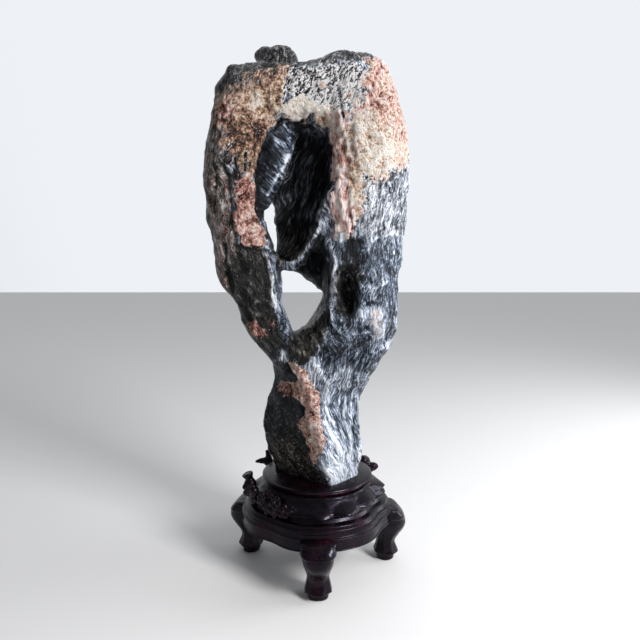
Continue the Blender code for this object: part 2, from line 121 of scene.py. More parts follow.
# Patches of the front, painted in order: softness of the edge, the looks that change, outline.
FRONT_PAINT = {
    "cap": (5, dict(light=0.3, earth=0.6, streak=0.8, crust=0.12), [
        (-124, 600), (-118, 552), (-101, 562), (-72, 572), (-50, 580), (-30, 590), (10, 588), (50, 592),
        (90, 612), (0, 640),
    ]),
    "speckled_top": (8, dict(light=0.6, earth=0.6, streak=0, crust=0.14, bright=0.3), [
        (-34, 584), (-18, 588), (4, 585), (36, 589), (50, 580), (54, 556), (46, 538), (24, 528), (8, 540),
        (-11, 552), (-36, 556),
    ]),
    "speckled_pale": (12, dict(light=1, earth=0.55, crust=0.3, bright=0.3), [
        (4, 565), (25, 576), (50, 572), (54, 556), (48, 540), (30, 526), (20, 532), (-6, 550),
    ]),
    "left_column": (7, dict(light=0.43, earth=0.8, streak=0.9, crust=0.38, blush=0.8, bright=-0.06), [
        (-136, 540), (-112, 536), (-102, 510), (-98, 480), (-89, 463), (-91, 438), (-90, 405), (-82, 386),
        (-86, 350), (-104, 310), (-140, 400),
    ]),
    "left_shoulder": (10, dict(crust=0.95, blush=0.1, bright=0.06, streak=0), [
        (-114, 548), (-102, 560), (-72, 568), (-58, 580), (-40, 585), (-27, 577), (-32, 561), (-34, 545),
        (-40, 532), (-52, 522), (-60, 508), (-64, 493), (-66, 470), (-79, 468), (-92, 486), (-100, 507),
        (-108, 526),
    ]),
    "left_pale": (6, dict(blush=0.8, bright=0.2), [
        (-108, 555), (-99, 560), (-87, 554), (-84, 541), (-91, 528), (-102, 533),
    ]),
    "left_gold": (6, dict(blush=0, bright=0.17), [
        (-74, 560), (-58, 565), (-43, 578), (-26, 578), (-33, 545), (-38, 532), (-53, 530), (-65, 537),
    ]),
    "cap_mix": (9, dict(crust=0.52, light=0.42, earth=0.9, streak=0.8, blush=0.2, bright=0), [
        (-114, 554), (-100, 566), (-72, 575), (-46, 590), (-28, 588), (-32, 574), (-62, 563), (-96, 551),
    ]),
    "left_umber": (9, dict(blush=0.1, bright=-0.16, crust=0.8, light=0.35, earth=0.7), [
        (-100, 522), (-72, 526), (-56, 518), (-60, 500), (-67, 482), (-77, 470), (-91, 480), (-97, 500),
    ]),
    "arm": (5, dict(light=0.12, earth=0.75, streak=0.9, crust=0.14, blush=0.4, bright=-0.06), [
        (-92, 396), (-60, 400), (-50, 372), (-50, 330), (-38, 280), (-70, 262), (-96, 320), (-104, 360),
    ]),
    "arm_blush": (4, dict(crust=0.95, blush=0.95, bright=0.08, streak=0.1), [
        (-87, 468), (-77, 473), (-67, 464), (-62, 449), (-66, 436), (-62, 423), (-57, 412), (-54, 400),
        (-57, 392), (-68, 394), (-79, 393), (-87, 397), (-90, 414), (-92, 431), (-90, 450),
    ]),
    "arm_blush_glow": (5, dict(bright=0.12), [
        (-86, 413), (-72, 419), (-62, 418), (-57, 408), (-57, 396), (-79, 395), (-87, 403),
    ]),
    "arm_strip": (3, dict(light=0.3, earth=0, crust=0, streak=0.8), [
        (-56, 392), (-50, 392), (-40, 352), (-36, 310), (-27, 280), (-35, 276), (-47, 318), (-50, 360),
    ]),
    "arm_tip": (4, dict(light=0.1, crust=0.04), [
        (-76, 300), (-48, 300), (-36, 276), (-52, 262), (-74, 278),
    ]),
    "low_arm": (3, dict(crust=0.8, blush=0.8, bright=-0.06), [
        (-80, 303), (-70, 306), (-54, 293), (-58, 288), (-76, 291),
    ]),
    "low_arm_spot": (2, dict(crust=0.9, blush=0.9), [(-56, 309), (-49, 310), (-48, 303), (-54, 303)]),
    "flank": (6, dict(light=0.55, earth=0.3, streak=0.85, crust=0.1, blush=0.6, bright=0.15), [
        (46, 474), (88, 490), (116, 500), (116, 400), (65, 403), (40, 408), (44, 440),
    ]),
    "flank_glint": (5, dict(light=0.7, streak=0.8), [
        (49, 466), (61, 468), (66, 454), (62, 437), (51, 422), (47, 437),
    ]),
    "right_shoulder": (11, dict(crust=0.9, blush=0.35, bright=0.34, streak=0), [
        (54, 590), (80, 604), (104, 580), (118, 540), (114, 500), (98, 482), (81, 474), (64, 463),
        (50, 466), (47, 440), (43, 424), (32, 424), (22, 430), (17, 455), (16, 499), (18, 519), (28, 527),
        (42, 540), (52, 556), (52, 573),
    ]),
    "right_rim": (10, dict(blush=0.65, bright=0.22), [
        (58, 592), (77, 602), (100, 580), (118, 540), (106, 505), (84, 516), (66, 534), (56, 551),
        (57, 570),
    ]),
    "right_cream": (7, dict(blush=0.1, bright=0.4), [
        (24, 520), (38, 529), (59, 526), (80, 514), (88, 495), (80, 474), (60, 468), (40, 478), (26, 490),
    ]),
    "tan_streak": (5, dict(blush=0, bright=0.16, streak=0.4, crust=0.8), [
        (31, 486), (46, 480), (48, 454), (46, 430), (36, 426), (31, 448),
    ]),
    "pink_strip": (3, dict(crust=0.95, blush=1.6, bright=0.38, streak=1), [
        (10, 520), (27, 516), (33, 486), (36, 448), (40, 424), (43, 406), (20, 400), (14, 440), (9, 490),
    ]),
    "cave_top": (4, dict(crust=0.95, blush=0.2, bright=0.5, streak=0), [
        (-36, 544), (-28, 550), (-14, 553), (-3, 546), (3, 537), (-1, 531), (-6, 535), (-12, 529),
        (-23, 527), (-34, 530),
    ]),
    "cave_top_right": (4, dict(crust=0.9, blush=0, bright=0.34, streak=0), [
        (-2, 542), (10, 543), (23, 534), (31, 526), (28, 514), (20, 514), (14, 524), (5, 523), (0, 530),
    ]),
    "crease_glow": (6, dict(light=0.9, crust=0.65, bright=0.3, blush=1.3, streak=0.6), [
        (16, 536), (28, 540), (38, 532), (34, 520), (22, 520),
    ]),
    "tan_spot": (3, dict(crust=0.6, blush=0, bright=0.1), [(2, 569), (7, 568), (7, 563), (3, 563)]),
    "tan_spot_right": (3, dict(crust=0.6, blush=0.1, bright=0.1), [
        (32, 555), (37, 555), (36, 550), (32, 550),
    ]),
    "right_mass": (10, dict(light=0.31, earth=0, streak=0.85), [
        (20, 400), (108, 400), (104, 330), (84, 290), (60, 240), (10, 256), (-10, 280), (14, 320),
        (30, 370),
    ]),
    "right_dusk": (4, dict(light=0.28), [(39, 306), (60, 306), (63, 288), (49, 285), (36, 297)]),
    # A painted highlight: the pale band right of the pocket.
    "right_highlight_band": (4, dict(light=0.5, streak=0.8), [
        (50, 352), (62, 354), (80, 360), (80, 350), (66, 343), (52, 342),
    ]),
    "right_low": (5, dict(light=0.57, streak=0.9), [
        (40, 322), (62, 328), (74, 324), (70, 308), (55, 305), (40, 308),
    ]),
    "pale_patch": (4, dict(crust=0.42, blush=1, bright=0.3, light=0.68), [
        (57, 324), (74, 325), (73, 307), (77, 290), (63, 286), (61, 305),
    ]),
    "pink_end": (3, dict(crust=0.2, light=0.85), [(21, 409), (32, 410), (31, 399), (22, 400)]),
    "neck_dusk": (7, dict(light=0.3, streak=0.8), [
        (-4, 302), (15, 304), (40, 292), (42, 270), (20, 262), (2, 270),
    ]),
    "neck": (6, dict(light=0.5, streak=0.9), [
        (-20, 272), (6, 262), (60, 246), (54, 222), (4, 224), (-8, 250),
    ]),
    "base_right": (4, dict(light=0.48, earth=0, streak=1), [
        (0, 222), (52, 228), (60, 160), (60, 100), (16, 100), (-4, 140), (8, 180),
    ]),
    "base_blue": (4, dict(light=0.5, streak=0.9), [(3, 212), (25, 208), (28, 192), (13, 188), (6, 197)]),
    "base_white": (4, dict(light=0.68, streak=0.85), [
        (10, 190), (16, 186), (27, 170), (28, 158), (18, 162),
    ]),
    "base_foot": (9, dict(light=0.74, streak=1), [
        (-3, 146), (10, 158), (30, 160), (52, 150), (54, 100), (16, 100),
    ]),
    "base_left": (4, dict(light=-0.08, earth=0.2, streak=0.2, crust=0.06), [
        (-70, 250), (-30, 264), (-10, 240), (4, 214), (8, 170), (-2, 140), (16, 114), (16, 98), (-70, 98),
    ]),
    "base_mottle": (10, dict(light=0.1, earth=0.9, streak=0.5, crust=0.24, blush=0.15, bright=-0.06), [
        (-60, 168), (-32, 172), (-10, 160), (-2, 138), (16, 112), (16, 98), (-70, 98),
    ]),
    "base_vein": (3, dict(crust=1, blush=0.85, bright=0.2, streak=0), [
        (-34, 260), (-25, 265), (-17, 257), (-8, 243), (2, 228), (6, 214), (3, 201), (9, 188), (10, 174),
        (7, 160), (-3, 142), (-9, 158), (-12, 171), (-22, 179), (-24, 186), (-15, 198), (-12, 208),
        (-20, 211), (-22, 219), (-40, 216), (-48, 223), (-41, 232), (-24, 236), (-21, 243), (-28, 252),
    ]),
    "base_vein_arm": (4, dict(blush=1, bright=0.02), [
        (-48, 223), (-41, 232), (-24, 236), (-20, 220), (-40, 214),
    ]),
    "cave": (2, dict(light=0.16, earth=0.3, crust=0, streak=1), CAVE_OUTLINE),
    "cave_folds": (9, dict(light=0.31), [
        (-44, 500), (-10, 506), (6, 480), (4, 446), (-10, 416), (-34, 410), (-46, 450),
    ]),
    "fin": (5, dict(light=0.17, earth=0.4), [
        (-52, 436), (-20, 440), (-6, 420), (-10, 392), (-20, 380), (-46, 376),
    ]),
    "fin_glow": (5, dict(light=0.24, earth=0.9), [
        (-44, 398), (-30, 402), (-22, 390), (-30, 378), (-46, 376),
    ]),
    # Painted shade, near black, in the scoop under the cave and in the hollow left of the pillar.
    "scoop_shade": (3, dict(light=0.08), [
        (-24, 370), (-14, 386), (-4, 404), (9, 404), (15, 380), (15, 352), (13, 330), (4, 326), (-8, 352),
    ]),
    "pocket": (3, dict(light=0.2, earth=0.6), [
        (29, 379), (22, 366), (20, 353), (19, 340), (21, 328), (25, 316), (36, 304), (40, 319), (42, 328),
        (45, 338), (47, 348), (50, 362), (48, 376),
    ]),
    "pocket_shade": (3, dict(light=0.12), [(34, 402), (48, 402), (50, 376), (28, 376)]),
    "hole_wall": (4, dict(light=0.14, earth=0.9, crust=0), [
        (-32, 273), (-28, 296), (-14, 302), (4, 314), (14, 322), (10, 296), (-4, 268), (-20, 258),
    ]),
    "finger": (2, dict(light=0.15, earth=0, crust=0, streak=1), FINGER_OUTLINE),
    # A painted highlight on the upper right of the finger.
    "finger_side_highlight": (4, dict(light=0.31), [
        (-44, 526), (-26, 527), (-29, 500), (-36, 488), (-44, 496), (-50, 512),
    ]),
    "finger_tip": (4, dict(light=0.04), [(-52, 444), (-52, 426), (-68, 426), (-68, 446), (-60, 448)]),
}
BACK_PAINT = {
    "back_pale": (24, dict(light=0.48, streak=0.65, earth=0.35, crust=0.15, bright=0.2), [
        (-70, 570), (60, 590), (96, 480), (30, 420), (-40, 450),
    ]),
    "back_left": (9, dict(crust=0.85, blush=0.2, bright=0.06, streak=0), [
        (-130, 480), (-126, 545), (-90, 580), (-52, 566), (-58, 520), (-84, 490), (-92, 452),
    ]),
    "back_right": (9, dict(crust=0.9, blush=0.5, bright=0.28, streak=0), [
        (130, 570), (130, 440), (112, 452), (90, 474), (70, 500), (56, 540), (66, 600), (110, 610),
    ]),
    "back_arm": (12, dict(light=0.26, earth=0.5, crust=0.18, bright=-0.05), [
        (-140, 470), (-92, 450), (-60, 430), (-44, 300), (-80, 262), (-120, 340),
    ]),
    "back_dark": (16, dict(light=0.28, streak=0.7), [
        (-20, 420), (30, 410), (44, 340), (20, 300), (-16, 330),
    ]),
    "back_low": (6, dict(crust=0.85, blush=0.7, bright=0.06, streak=0), [
        (-8, 290), (10, 306), (30, 292), (22, 254), (12, 236), (2, 252),
    ]),
    "back_base": (14, dict(light=0.3, earth=0.5, crust=0.22, blush=0.3), [
        (-70, 230), (-10, 236), (20, 180), (30, 98), (-70, 98),
    ]),
    "back_foot": (14, dict(light=0.56, earth=0.1, streak=0.8), [
        (24, 220), (70, 230), (70, 98), (34, 98), (22, 160),
    ]),
}

# Strokes on the front, raised or cut in, that change no look but how light it is: height, half width,
# how much lighter, path. Raised ones are painted lighter and cut ones darker: on the rims and ridges
# above the foot they are painted highlights and painted shade, and on the foot pale veins and dark
# lines of the stone.
HIGHLIGHT_SHADE_AND_VEIN_STROKES = [
    # Painted highlights on rims and ridges and painted shade in grooves, down to the cap's grooves.
    (2.2, 1.9, 0.32, [
        (-41, 376), (-31, 374), (-22, 377), (-12, 389), (-5, 401), (1, 410), (6, 427), (10, 440), (15, 452),
    ]),
    (1, 1, 0.22, [(-13, 406), (-1, 421), (6, 436), (12, 452)]),
    (2, 1.5, 0.62, [(-32, 496), (-38, 483), (-45, 470), (-49, 460), (-55, 451)]),
    (1.8, 1.4, 0.45, [(-61, 388), (-55, 376), (-50, 360), (-52, 342), (-48, 328), (-44, 321)]),
    (2.6, 2.4, 0.34, [(10, 404), (18, 390), (21, 374), (20, 356), (19, 335)]),
    (2.4, 1.5, 0.5, [(16, 334), (18, 308), (25, 298), (34, 292)]),
    (1.6, 1.3, 0.5, [(24, 317), (31, 304), (40, 295), (50, 296), (59, 297)]),
    (-3.2, 3, -0.1, [(29, 370), (25, 352), (25, 334), (32, 314)]),
    (1.2, 4, 0.14, [(-73, 380), (-77, 355), (-74, 331), (-70, 306)]),
    (-1.6, 2.6, -0.16, [(-61, 384), (-58, 366), (-60, 343), (-56, 312)]),
    (-1.4, 2.4, -0.14, [(-86, 384), (-87, 358), (-83, 332), (-78, 312)]),
    (1, 3.2, 0.1, [(-97, 376), (-94, 352), (-88, 330)]),
    (1.8, 3.2, 0.16, [(56, 347), (66, 349), (76, 355)]),
    (-2, 2.6, -0.3, [(56, 330), (64, 331), (71, 327)]),
    (1.2, 1.5, 0.3, [(83, 407), (87, 387), (82, 369)]),
    (1, 1.2, 0.35, [(61, 399), (66, 403), (74, 405), (86, 410)]),
    (1.6, 1.8, 0.28, [(76, 322), (74, 300), (68, 284), (62, 274)]),
    (2, 2.6, 0.3, [(-33, 284), (-19, 275), (-8, 266), (4, 252), (13, 237)]),
    (1.6, 1.6, 0.25, [(-16, 290), (-6, 300), (4, 312), (12, 322)]),
    (1.6, 2.2, 0.2, [(90, 401), (99, 365), (93, 331), (90, 297), (78, 274)]),
    (-2, 2.4, -0.2, [(-66, 592), (-52, 588), (-38, 588), (-26, 593)]),
    (-1.6, 2.2, -0.12, [(-58, 614), (-55, 602), (-50, 590)]),
    (-1.4, 2, -0.12, [(-42, 616), (-40, 604), (-42, 592)]),
    # The foot's pale veins and dark lines, the stone's own.
    (1.2, 1.2, 0.45, [(9, 216), (13, 200), (20, 186)]),
    (1.2, 1.1, 0.5, [(8, 194), (15, 180), (24, 166), (32, 146)]),
    (1, 1.1, 0.4, [(13, 196), (24, 188), (33, 170)]),
    (1, 1.1, 0.42, [(41, 222), (39, 189), (40, 155)]),
    (1, 1.1, 0.4, [(33, 218), (32, 196), (36, 176)]),
    (1, 1.1, 0.42, [(-1, 158), (8, 147), (25, 120)]),
    (0.8, 1, 0.4, [(4, 142), (14, 130), (22, 122)]),
    (0.8, 1, 0.36, [(12, 160), (24, 142), (38, 128)]),
    (-1.2, 1.4, -0.34, [(22, 196), (32, 176), (36, 160)]),
    (-1, 1.2, -0.34, [(44, 190), (45, 160), (46, 130)]),
    (-1, 1.2, -0.3, [(-1, 150), (6, 141), (16, 124)]),
    (-0.8, 1.2, -0.26, [(28, 160), (34, 144), (38, 124)]),
    (-1.4, 2.2, -0.18, [(4, 214), (28, 206), (46, 212)]),
]
# Strokes with other changes: height, half width, how much is added to each look, path. Most that are
# cut in are painted darker, as painted shade in their grooves, and most raised ones lighter, as
# painted highlights; some are the stone's own dark cracks.
STROKES = [
    (-2.4, 1.6, dict(light=-0.4, crust=-0.4), [(-104, 396), (-103, 374), (-99, 356), (-96, 342)]),
    (1.4, 5, dict(), [(-112, 390), (-110, 366), (-106, 350)]),
    (1, 2.4, dict(), [(-4, 220), (4, 199), (8, 175), (6, 152), (11, 131), (16, 115)]),
    (-1.6, 0.9, dict(light=-0.6, crust=-0.6), [(22, 566), (25, 550), (29, 527)]),
    (-1.2, 1, dict(light=-0.5, bright=-0.3), [(26, 540), (29, 530), (31, 520)]),
    (1, 1.2, dict(light=0.3, bright=0.2), [(24, 564), (27, 548), (31, 528)]),
    (2, 7, dict(), [(46, 350), (62, 352), (82, 356)]),
    (2, 6, dict(), [(42, 316), (62, 316), (80, 312)]),
    (-2.4, 6, dict(), [(40, 294), (50, 294), (62, 294)]),
    # Folds down the pink strip: painted shade in their grooves and a painted highlight on the crest between.
    (-1.2, 1.2, dict(bright=-0.2), [(28, 512), (30, 486), (33, 455), (36, 430), (39, 412)]),
    (1.2, 1.3, dict(bright=0.25), [(22, 508), (24, 480), (27, 450), (31, 425)]),
    (-1, 1, dict(bright=-0.14), [(17, 505), (18, 480), (20, 450), (25, 420)]),
    (-1.4, 1.8, dict(blush=0.9, bright=-0.36), [
        (30, 526), (45, 538), (57, 543), (58, 553), (62, 572), (70, 588),
    ]),
    (-1, 3.4, dict(blush=0.9, streak=0.8, bright=0.1), [(56, 545), (58, 556), (62, 573), (72, 590)]),
    (-1.6, 2, dict(light=-0.3, crust=-0.5), [(-20, 590), (-25, 577), (-31, 565), (-35, 550)]),
    (0.8, 2.4, dict(light=0.3, bright=0.25), [(20, 528), (28, 526), (40, 534), (52, 539)]),
    # The groove round the finger's left edge, painted dark: painted shade where the finger lies back behind
    # the arm.
    (-2.6, 1.8, dict(light=-0.3, crust=-0.9), [
        (-53, 426), (-63, 424), (-68, 434), (-66, 450), (-67, 470), (-62, 494), (-52, 515), (-38, 531),
    ]),
    (-1.6, 1.6, dict(light=-0.3, crust=-0.7), [(-85, 395), (-75, 390), (-65, 387), (-58, 390)]),
    (0.6, 1.4, dict(light=0.2, crust=-0.9), [(-60, 421), (-55, 410), (-53, 394)]),
    (-1.5, 1.5, dict(light=-0.2, crust=-0.4), [(-94, 466), (-95, 440), (-94, 416), (-90, 400)]),
    (-1.5, 1.4, dict(light=-0.3, crust=-0.5), [(-108, 536), (-112, 500), (-110, 470), (-114, 440)]),
    (1.2, 1.5, dict(crust=0.9, bright=0.25), [(-33, 262), (-26, 253), (-19, 244)]),
]
STROKES += [(height, width, dict(light=light), path) for height, width, light, path in HIGHLIGHT_SHADE_AND_VEIN_STROKES]
# Raised ribs cross the finger one below the other, from its top to its tip, painted paler: partly their own
# pale colour and partly painted highlights on their crests.
RIB_COUNT = 15
RIB_MIDDLES = np.linspace((-30, 520), (-58, 440), RIB_COUNT)
HALF_RIB = np.array((8, -5.5))
STROKES += [(0.8, 1.1, dict(light=0.26), [at - HALF_RIB, at, at + HALF_RIB]) for at in RIB_MIDDLES]
# Dark cracks that wind round on the left shoulder.
SCARS = [
    [
        (-89, 504), (-95, 499), (-99, 491), (-100, 484), (-100, 476), (-96, 471), (-91, 469), (-87, 476),
        (-88, 483), (-93, 485), (-98, 482),
    ],
    [
        (-88, 490), (-88, 482), (-87, 474), (-88, 466), (-82, 469), (-77, 476), (-76, 483), (-77, 494),
    ],
]
# Humps and hollows that the outline shows: (x, z), reach and height.
HUMPS = [
    ((-92, 584), 9, 5.5), ((-108, 568), 8, 3.5), ((-60, 614), 7, 5), ((-70, 612), 5, 3),
    ((-72, 602), 5.5, -6), ((-49, 617), 5, 0.8), ((-38, 616), 8, 3), ((72, 596), 9, 2), ((-24, 606), 6, -3),
]


# ---- numbers over many points ----


def smooth_step(value):
    """0 below -1 and 1 above 1, smoothly."""
    t = np.clip(value * 0.5 + 0.5, 0, 1)
    return t * t * (3 - 2 * t)


def hashed(cells, seed):
    """A number from -1 to 1 for each lattice cell."""
    x, y, z = (cells[:, axis].astype(np.uint32) for axis in range(3))
    mixed = x * np.uint32(374761393) + y * np.uint32(668265263) + z * np.uint32(2246822519)
    mixed = mixed + np.uint32(seed * 3266489917 % 2**32)
    mixed = (mixed ^ (mixed >> np.uint32(15))) * np.uint32(2246822519)
    mixed = (mixed ^ (mixed >> np.uint32(13))) * np.uint32(3266489917)
    return ((mixed ^ (mixed >> np.uint32(16))) & np.uint32(0xFFFFFF)) / 0x7FFFFF - 1


def noise(points, size, seed=0):
    """Smooth gradient noise of about -1 to 1, whose lumps are about this size."""
    scaled = points / size
    cell = np.floor(scaled).astype(np.int64)
    offset = scaled - cell
    fade = offset**3 * (offset * (offset * 6 - 15) + 10)
    total = np.zeros(len(points))
    for corner in np.ndindex(2, 2, 2):
        step = np.array(corner)
        weight = np.prod(np.where(step, fade, 1 - fade), axis=1)
        for axis in range(3):
            slope = hashed(cell + step, seed * 3 + axis)
            total += weight * slope * (offset[:, axis] - step[axis])
    return total * 1.5


def ridged(points, size, seed=0):
    """Noise with sharp crests at 1 and broad valleys."""
    return 1 - 2 * np.abs(noise(points, size, seed))


def layered(points, layers, seed):
    """The sum of these noises, each with a seed of its own."""
    return sum(height * noise(points, size, seed + count) for count, (height, size) in enumerate(layers))


def distance_to(points, path):
    """Distance from each point to the line through these places."""
    places = np.array(path, float)
    nearest = np.full(len(points), np.inf)
    for start, end in zip(places, places[1:]):
        run = end - start
        share = np.clip(((points - start) @ run) / (run @ run), 0, 1)
        gap = points - start - share[:, None] * run
        nearest = np.minimum(nearest, np.hypot(gap[:, 0], gap[:, 1]))
    return nearest


def depth_inside(points, outline):
    """Distance from each point to the closed outline, positive inside it."""
    inside = np.zeros(len(points), bool)
    for start, end in zip(outline, outline[1:] + outline[:1]):
        spans = (start[1] > points[:, 1]) != (end[1] > points[:, 1])
        rise = (end[1] - start[1]) or 1
        crossing = start[0] + (points[:, 1] - start[1]) * (end[0] - start[0]) / rise
        inside ^= spans & (points[:, 0] < crossing)
    distance = distance_to(points, outline + outline[:1])
    return np.where(inside, distance, -distance)


# ---- mesh helpers ----


def axis_of_stand():
    """The stand's axis, halfway between its front and its back leg."""
    corners = [*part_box("leg_front"), *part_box("leg_back")]
    return sum(corner.x for corner in corners) / 4


AXIS = np.array((axis_of_stand(), 0.0, 0.0))
WELD_DISTANCE = 1e-6


def new_piece(name, mesh):
    piece = bpy.data.objects.new(name, mesh)
    bpy.context.scene.collection.objects.link(piece)
    return piece


def mesh_from(shape, name):
    """A mesh made of the shape, which is given up."""
    mesh = bpy.data.meshes.new(name)
    shape.to_mesh(mesh)
    shape.free()
    return mesh


def welded_copy(node):
    """The CAD node's mesh, with the corners of its facets joined."""
    shape = bmesh.new()
    shape.from_mesh(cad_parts[node].data)
    bmesh.ops.remove_doubles(shape, verts=shape.verts, dist=WELD_DISTANCE)
    return mesh_from(shape, node)


def apply_modifiers(piece):
    bpy.context.view_layer.update()
    graph = bpy.context.evaluated_depsgraph_get()
    result = bpy.data.meshes.new_from_object(piece.evaluated_get(graph))
    piece.modifiers.clear()
    piece.data = result


def subdivide(piece, levels):
    modifier = piece.modifiers.new("Subdivision", "SUBSURF")
    modifier.levels = levels
    modifier.render_levels = levels


def remesh(piece, voxel, smoothing):
    modifier = piece.modifiers.new("Remesh", "REMESH")
    modifier.mode = "VOXEL"
    modifier.voxel_size = voxel * MM
    if smoothing:
        smooth = piece.modifiers.new("Smooth", "SMOOTH")
        smooth.factor = 0.5
        smooth.iterations = smoothing


def points_of(mesh):
    """The vertices in millimetres from the stand's axis."""
    flat = np.empty(len(mesh.vertices) * 3)
    mesh.vertices.foreach_get("co", flat)
    return (flat.reshape(-1, 3) - AXIS) / MM


def normals_of(mesh):
    flat = np.empty(len(mesh.vertices) * 3, np.float32)
    mesh.vertex_normals.foreach_get("vector", flat)
    return flat.reshape(-1, 3).astype(float)


def set_points(mesh, points):
    mesh.vertices.foreach_set("co", (points * MM + AXIS).ravel())
    mesh.update()


def add_ridges(mesh, height, size, seed):
    """Low ridges over the whole surface, such as a knife leaves."""
    points, normals = points_of(mesh), normals_of(mesh)
    set_points(mesh, points + normals * (height * ridged(points, size, seed))[:, None])


def set_layer(mesh, name, values):
    vector = values.ndim == 2
    layer = mesh.attributes.new(name, "FLOAT_VECTOR" if vector else "FLOAT", "POINT")
    layer.data.foreach_set("vector" if vector else "value", values.astype(np.float32).ravel())


# ---- the rock's surface ----


def front_view(points):
    return np.stack([points[:, 0], points[:, 2]], axis=1)


def foot_lean(x, y, z):
    """How far the lines lean over, which they do on the foot's front alone."""
    lean = np.radians(FOOT_LEAN - FOOT_LEAN_LOSS * np.clip(x / 50, 0, 1))
    return lean * smooth_step((FOOT_TOP - z) / 22) * smooth_step((4 - y) / 12)


def lines_of_stone(points):
    """Coordinates across and along the lines of the stone, so that noise can follow them."""
    x, y, z = points.T
    levels, middles, halves = zip(*SPREAD)
    wander = layered(points, LINE_WANDER, 31)
    across = (x + wander - np.interp(z, levels, middles)) / np.interp(z, levels, halves) * COMMON_HALF_WIDTH
    flow = np.stack([across, y, z], axis=1)
    front = front_view(points)
    finger = (depth_inside(front, FINGER_OUTLINE) > -1.5) & (y < FINGER_BACK)
    cave = (depth_inside(front, CAVE_OUTLINE) > 0) & (y > CAVE_FRONT)
    folds = np.stack([x * 0.94 - z * 0.34 + wander, y * 0.3, z * 0.6], axis=1)
    ribs = np.stack([(x + z) * 0.8 + 0.3 * wander, y, (x - z) * 0.7], axis=1)
    lean = foot_lean(x, y, z)
    rise = z - LEAN_PIVOT
    flow[:, 0], flow[:, 2] = (
        flow[:, 0] * np.cos(lean) + rise * np.sin(lean),
        rise * np.cos(lean) - flow[:, 0] * np.sin(lean) + LEAN_PIVOT,
    )
    for share, slanted in ((cave, folds), (finger, ribs)):
        flow[share] = slanted[share]
    return flow, finger.astype(float), cave.astype(float)


def facing(points, normals):
    """1 on the front and in the cave, and 0 on the back."""
    wander = 14 * noise(points, 30, 71)
    share = smooth_step((FRONT_DEPTH - points[:, 1] + wander) / FRONT_EDGE_SOFTNESS)
    in_cave = (depth_inside(front_view(points), CAVE_OUTLINE) > -4) & (normals[:, 1] < 0)
    return np.where(in_cave, 1.0, share)


def scar_share(points):
    """1 on the dark cracks and 0 away from them."""
    front = front_view(points) + 1.2 * np.stack([noise(points, 8, 91), noise(points, 8, 92)], axis=1)
    near = np.minimum.reduce([distance_to(front, path) for path in SCARS]) / SCAR_HALF_WIDTH
    return np.exp(-near * near) * smooth_step(1.6 + 1.8 * noise(points, 12, 94))


def relief_layers(points, flow, front_share):
    """Crests along the lines of the stone, broad folds of the back, folds in the cave and lumps of crust."""
    return {
        "crests": ridged(flow / (14, 24, 40), 1, 3) - 0.4,
        "folds": (ridged(flow / (26, 36, 85), 1, 21) - 0.35) * (1 - front_share),
        "hollow": ridged(flow / (10, 24, 80), 1, 5) - 0.45,
        "lumps": ridged(points, 13, 9) - 0.4 + noise(points, 6, 10),
    }


def paint(points, front_share, scars, relief):
    """Each look over the whole surface."""
    front = front_view(points)
    wobble = layered(points, EDGE_WOBBLE, 40)
    wander = 18 * noise(points, 40, 42) * smooth_step((points[:, 1] + 4) / 14)
    looks = {name: np.full(len(points), value) for name, value in LOOKS.items()}
    for side, patches in ((front_share, FRONT_PAINT), (1 - front_share, BACK_PAINT)):
        for soft, changes, outline in patches.values():
            uneven = wobble * (0.55 + soft / 9) + wander * min(max((soft - 4) / 5, 0), 1)
            share = smooth_step((depth_inside(front, outline) + uneven) / soft) * side
            for name, value in changes.items():
                looks[name] += (value - looks[name]) * share
    uneven = 0.8 + 0.6 * noise(points, 8, 90)
    for _, width, changes, path in STROKES:
        near = (distance_to(front, path) + 0.7 * noise(points, 6, 93)) / width
        share = uneven * np.exp(-near * near) * front_share
        for name, value in changes.items():
            looks[name] += value * share
    # Painted light that follows the relief: crests lighter, partly from wear, and valleys darker as painted
    # shade; the back's folds likewise, as painted shade; crust lighter on its lumps and darker between them,
    # partly painted shade.
    looks["light"] += 0.12 * relief["crests"] + 0.2 * relief["folds"]
    looks["bright"] += 0.17 * relief["lumps"]
    looks["light"] *= 1 - 0.9 * scars
    looks["crust"] *= 1 - scars
    return looks


def rock_relief(points, relief, flow, finger, cave, crust, front_share, scars):
    """How far each point moves along its normal, in millimetres."""
    front = front_view(points)
    plain = (1 - crust) * (1 - finger) * (1 - cave)
    strength = 0.8 + 0.7 * noise(points, 45, 12)
    move = plain * strength * CREST_HEIGHT * relief["crests"]
    move += plain * THREAD_HEIGHT * (ridged(flow / (6, 14, 17), 1, 4) - 0.4)
    move += BACK_FOLD_HEIGHT * relief["folds"]
    move += cave * CAVE_FOLD_HEIGHT * relief["hollow"]
    move += finger * FINGER_RIDGE_HEIGHT * (ridged(flow / (5.5, 24, 26), 1, 6) - 0.4)
    move += layered(points, BROAD_BUMPS, 7)
    move += crust * (CRUST_HEIGHT + CRUST_LUMP_HEIGHT * relief["lumps"])
    for centre, reach, height in HUMPS:
        near = np.hypot(*(front - centre).T) / reach
        move += height * np.exp(-near * near)
    for height, width, _, path in STROKES:
        near = distance_to(front, path) / max(width, 1.8)
        move += height * np.exp(-near * near) * front_share
    move -= SCAR_DEPTH * scars
    calm = smooth_step((points[:, 2] - SEAT_TOP - CALM_HEIGHT / 2) / (CALM_HEIGHT / 2))
    return move * calm


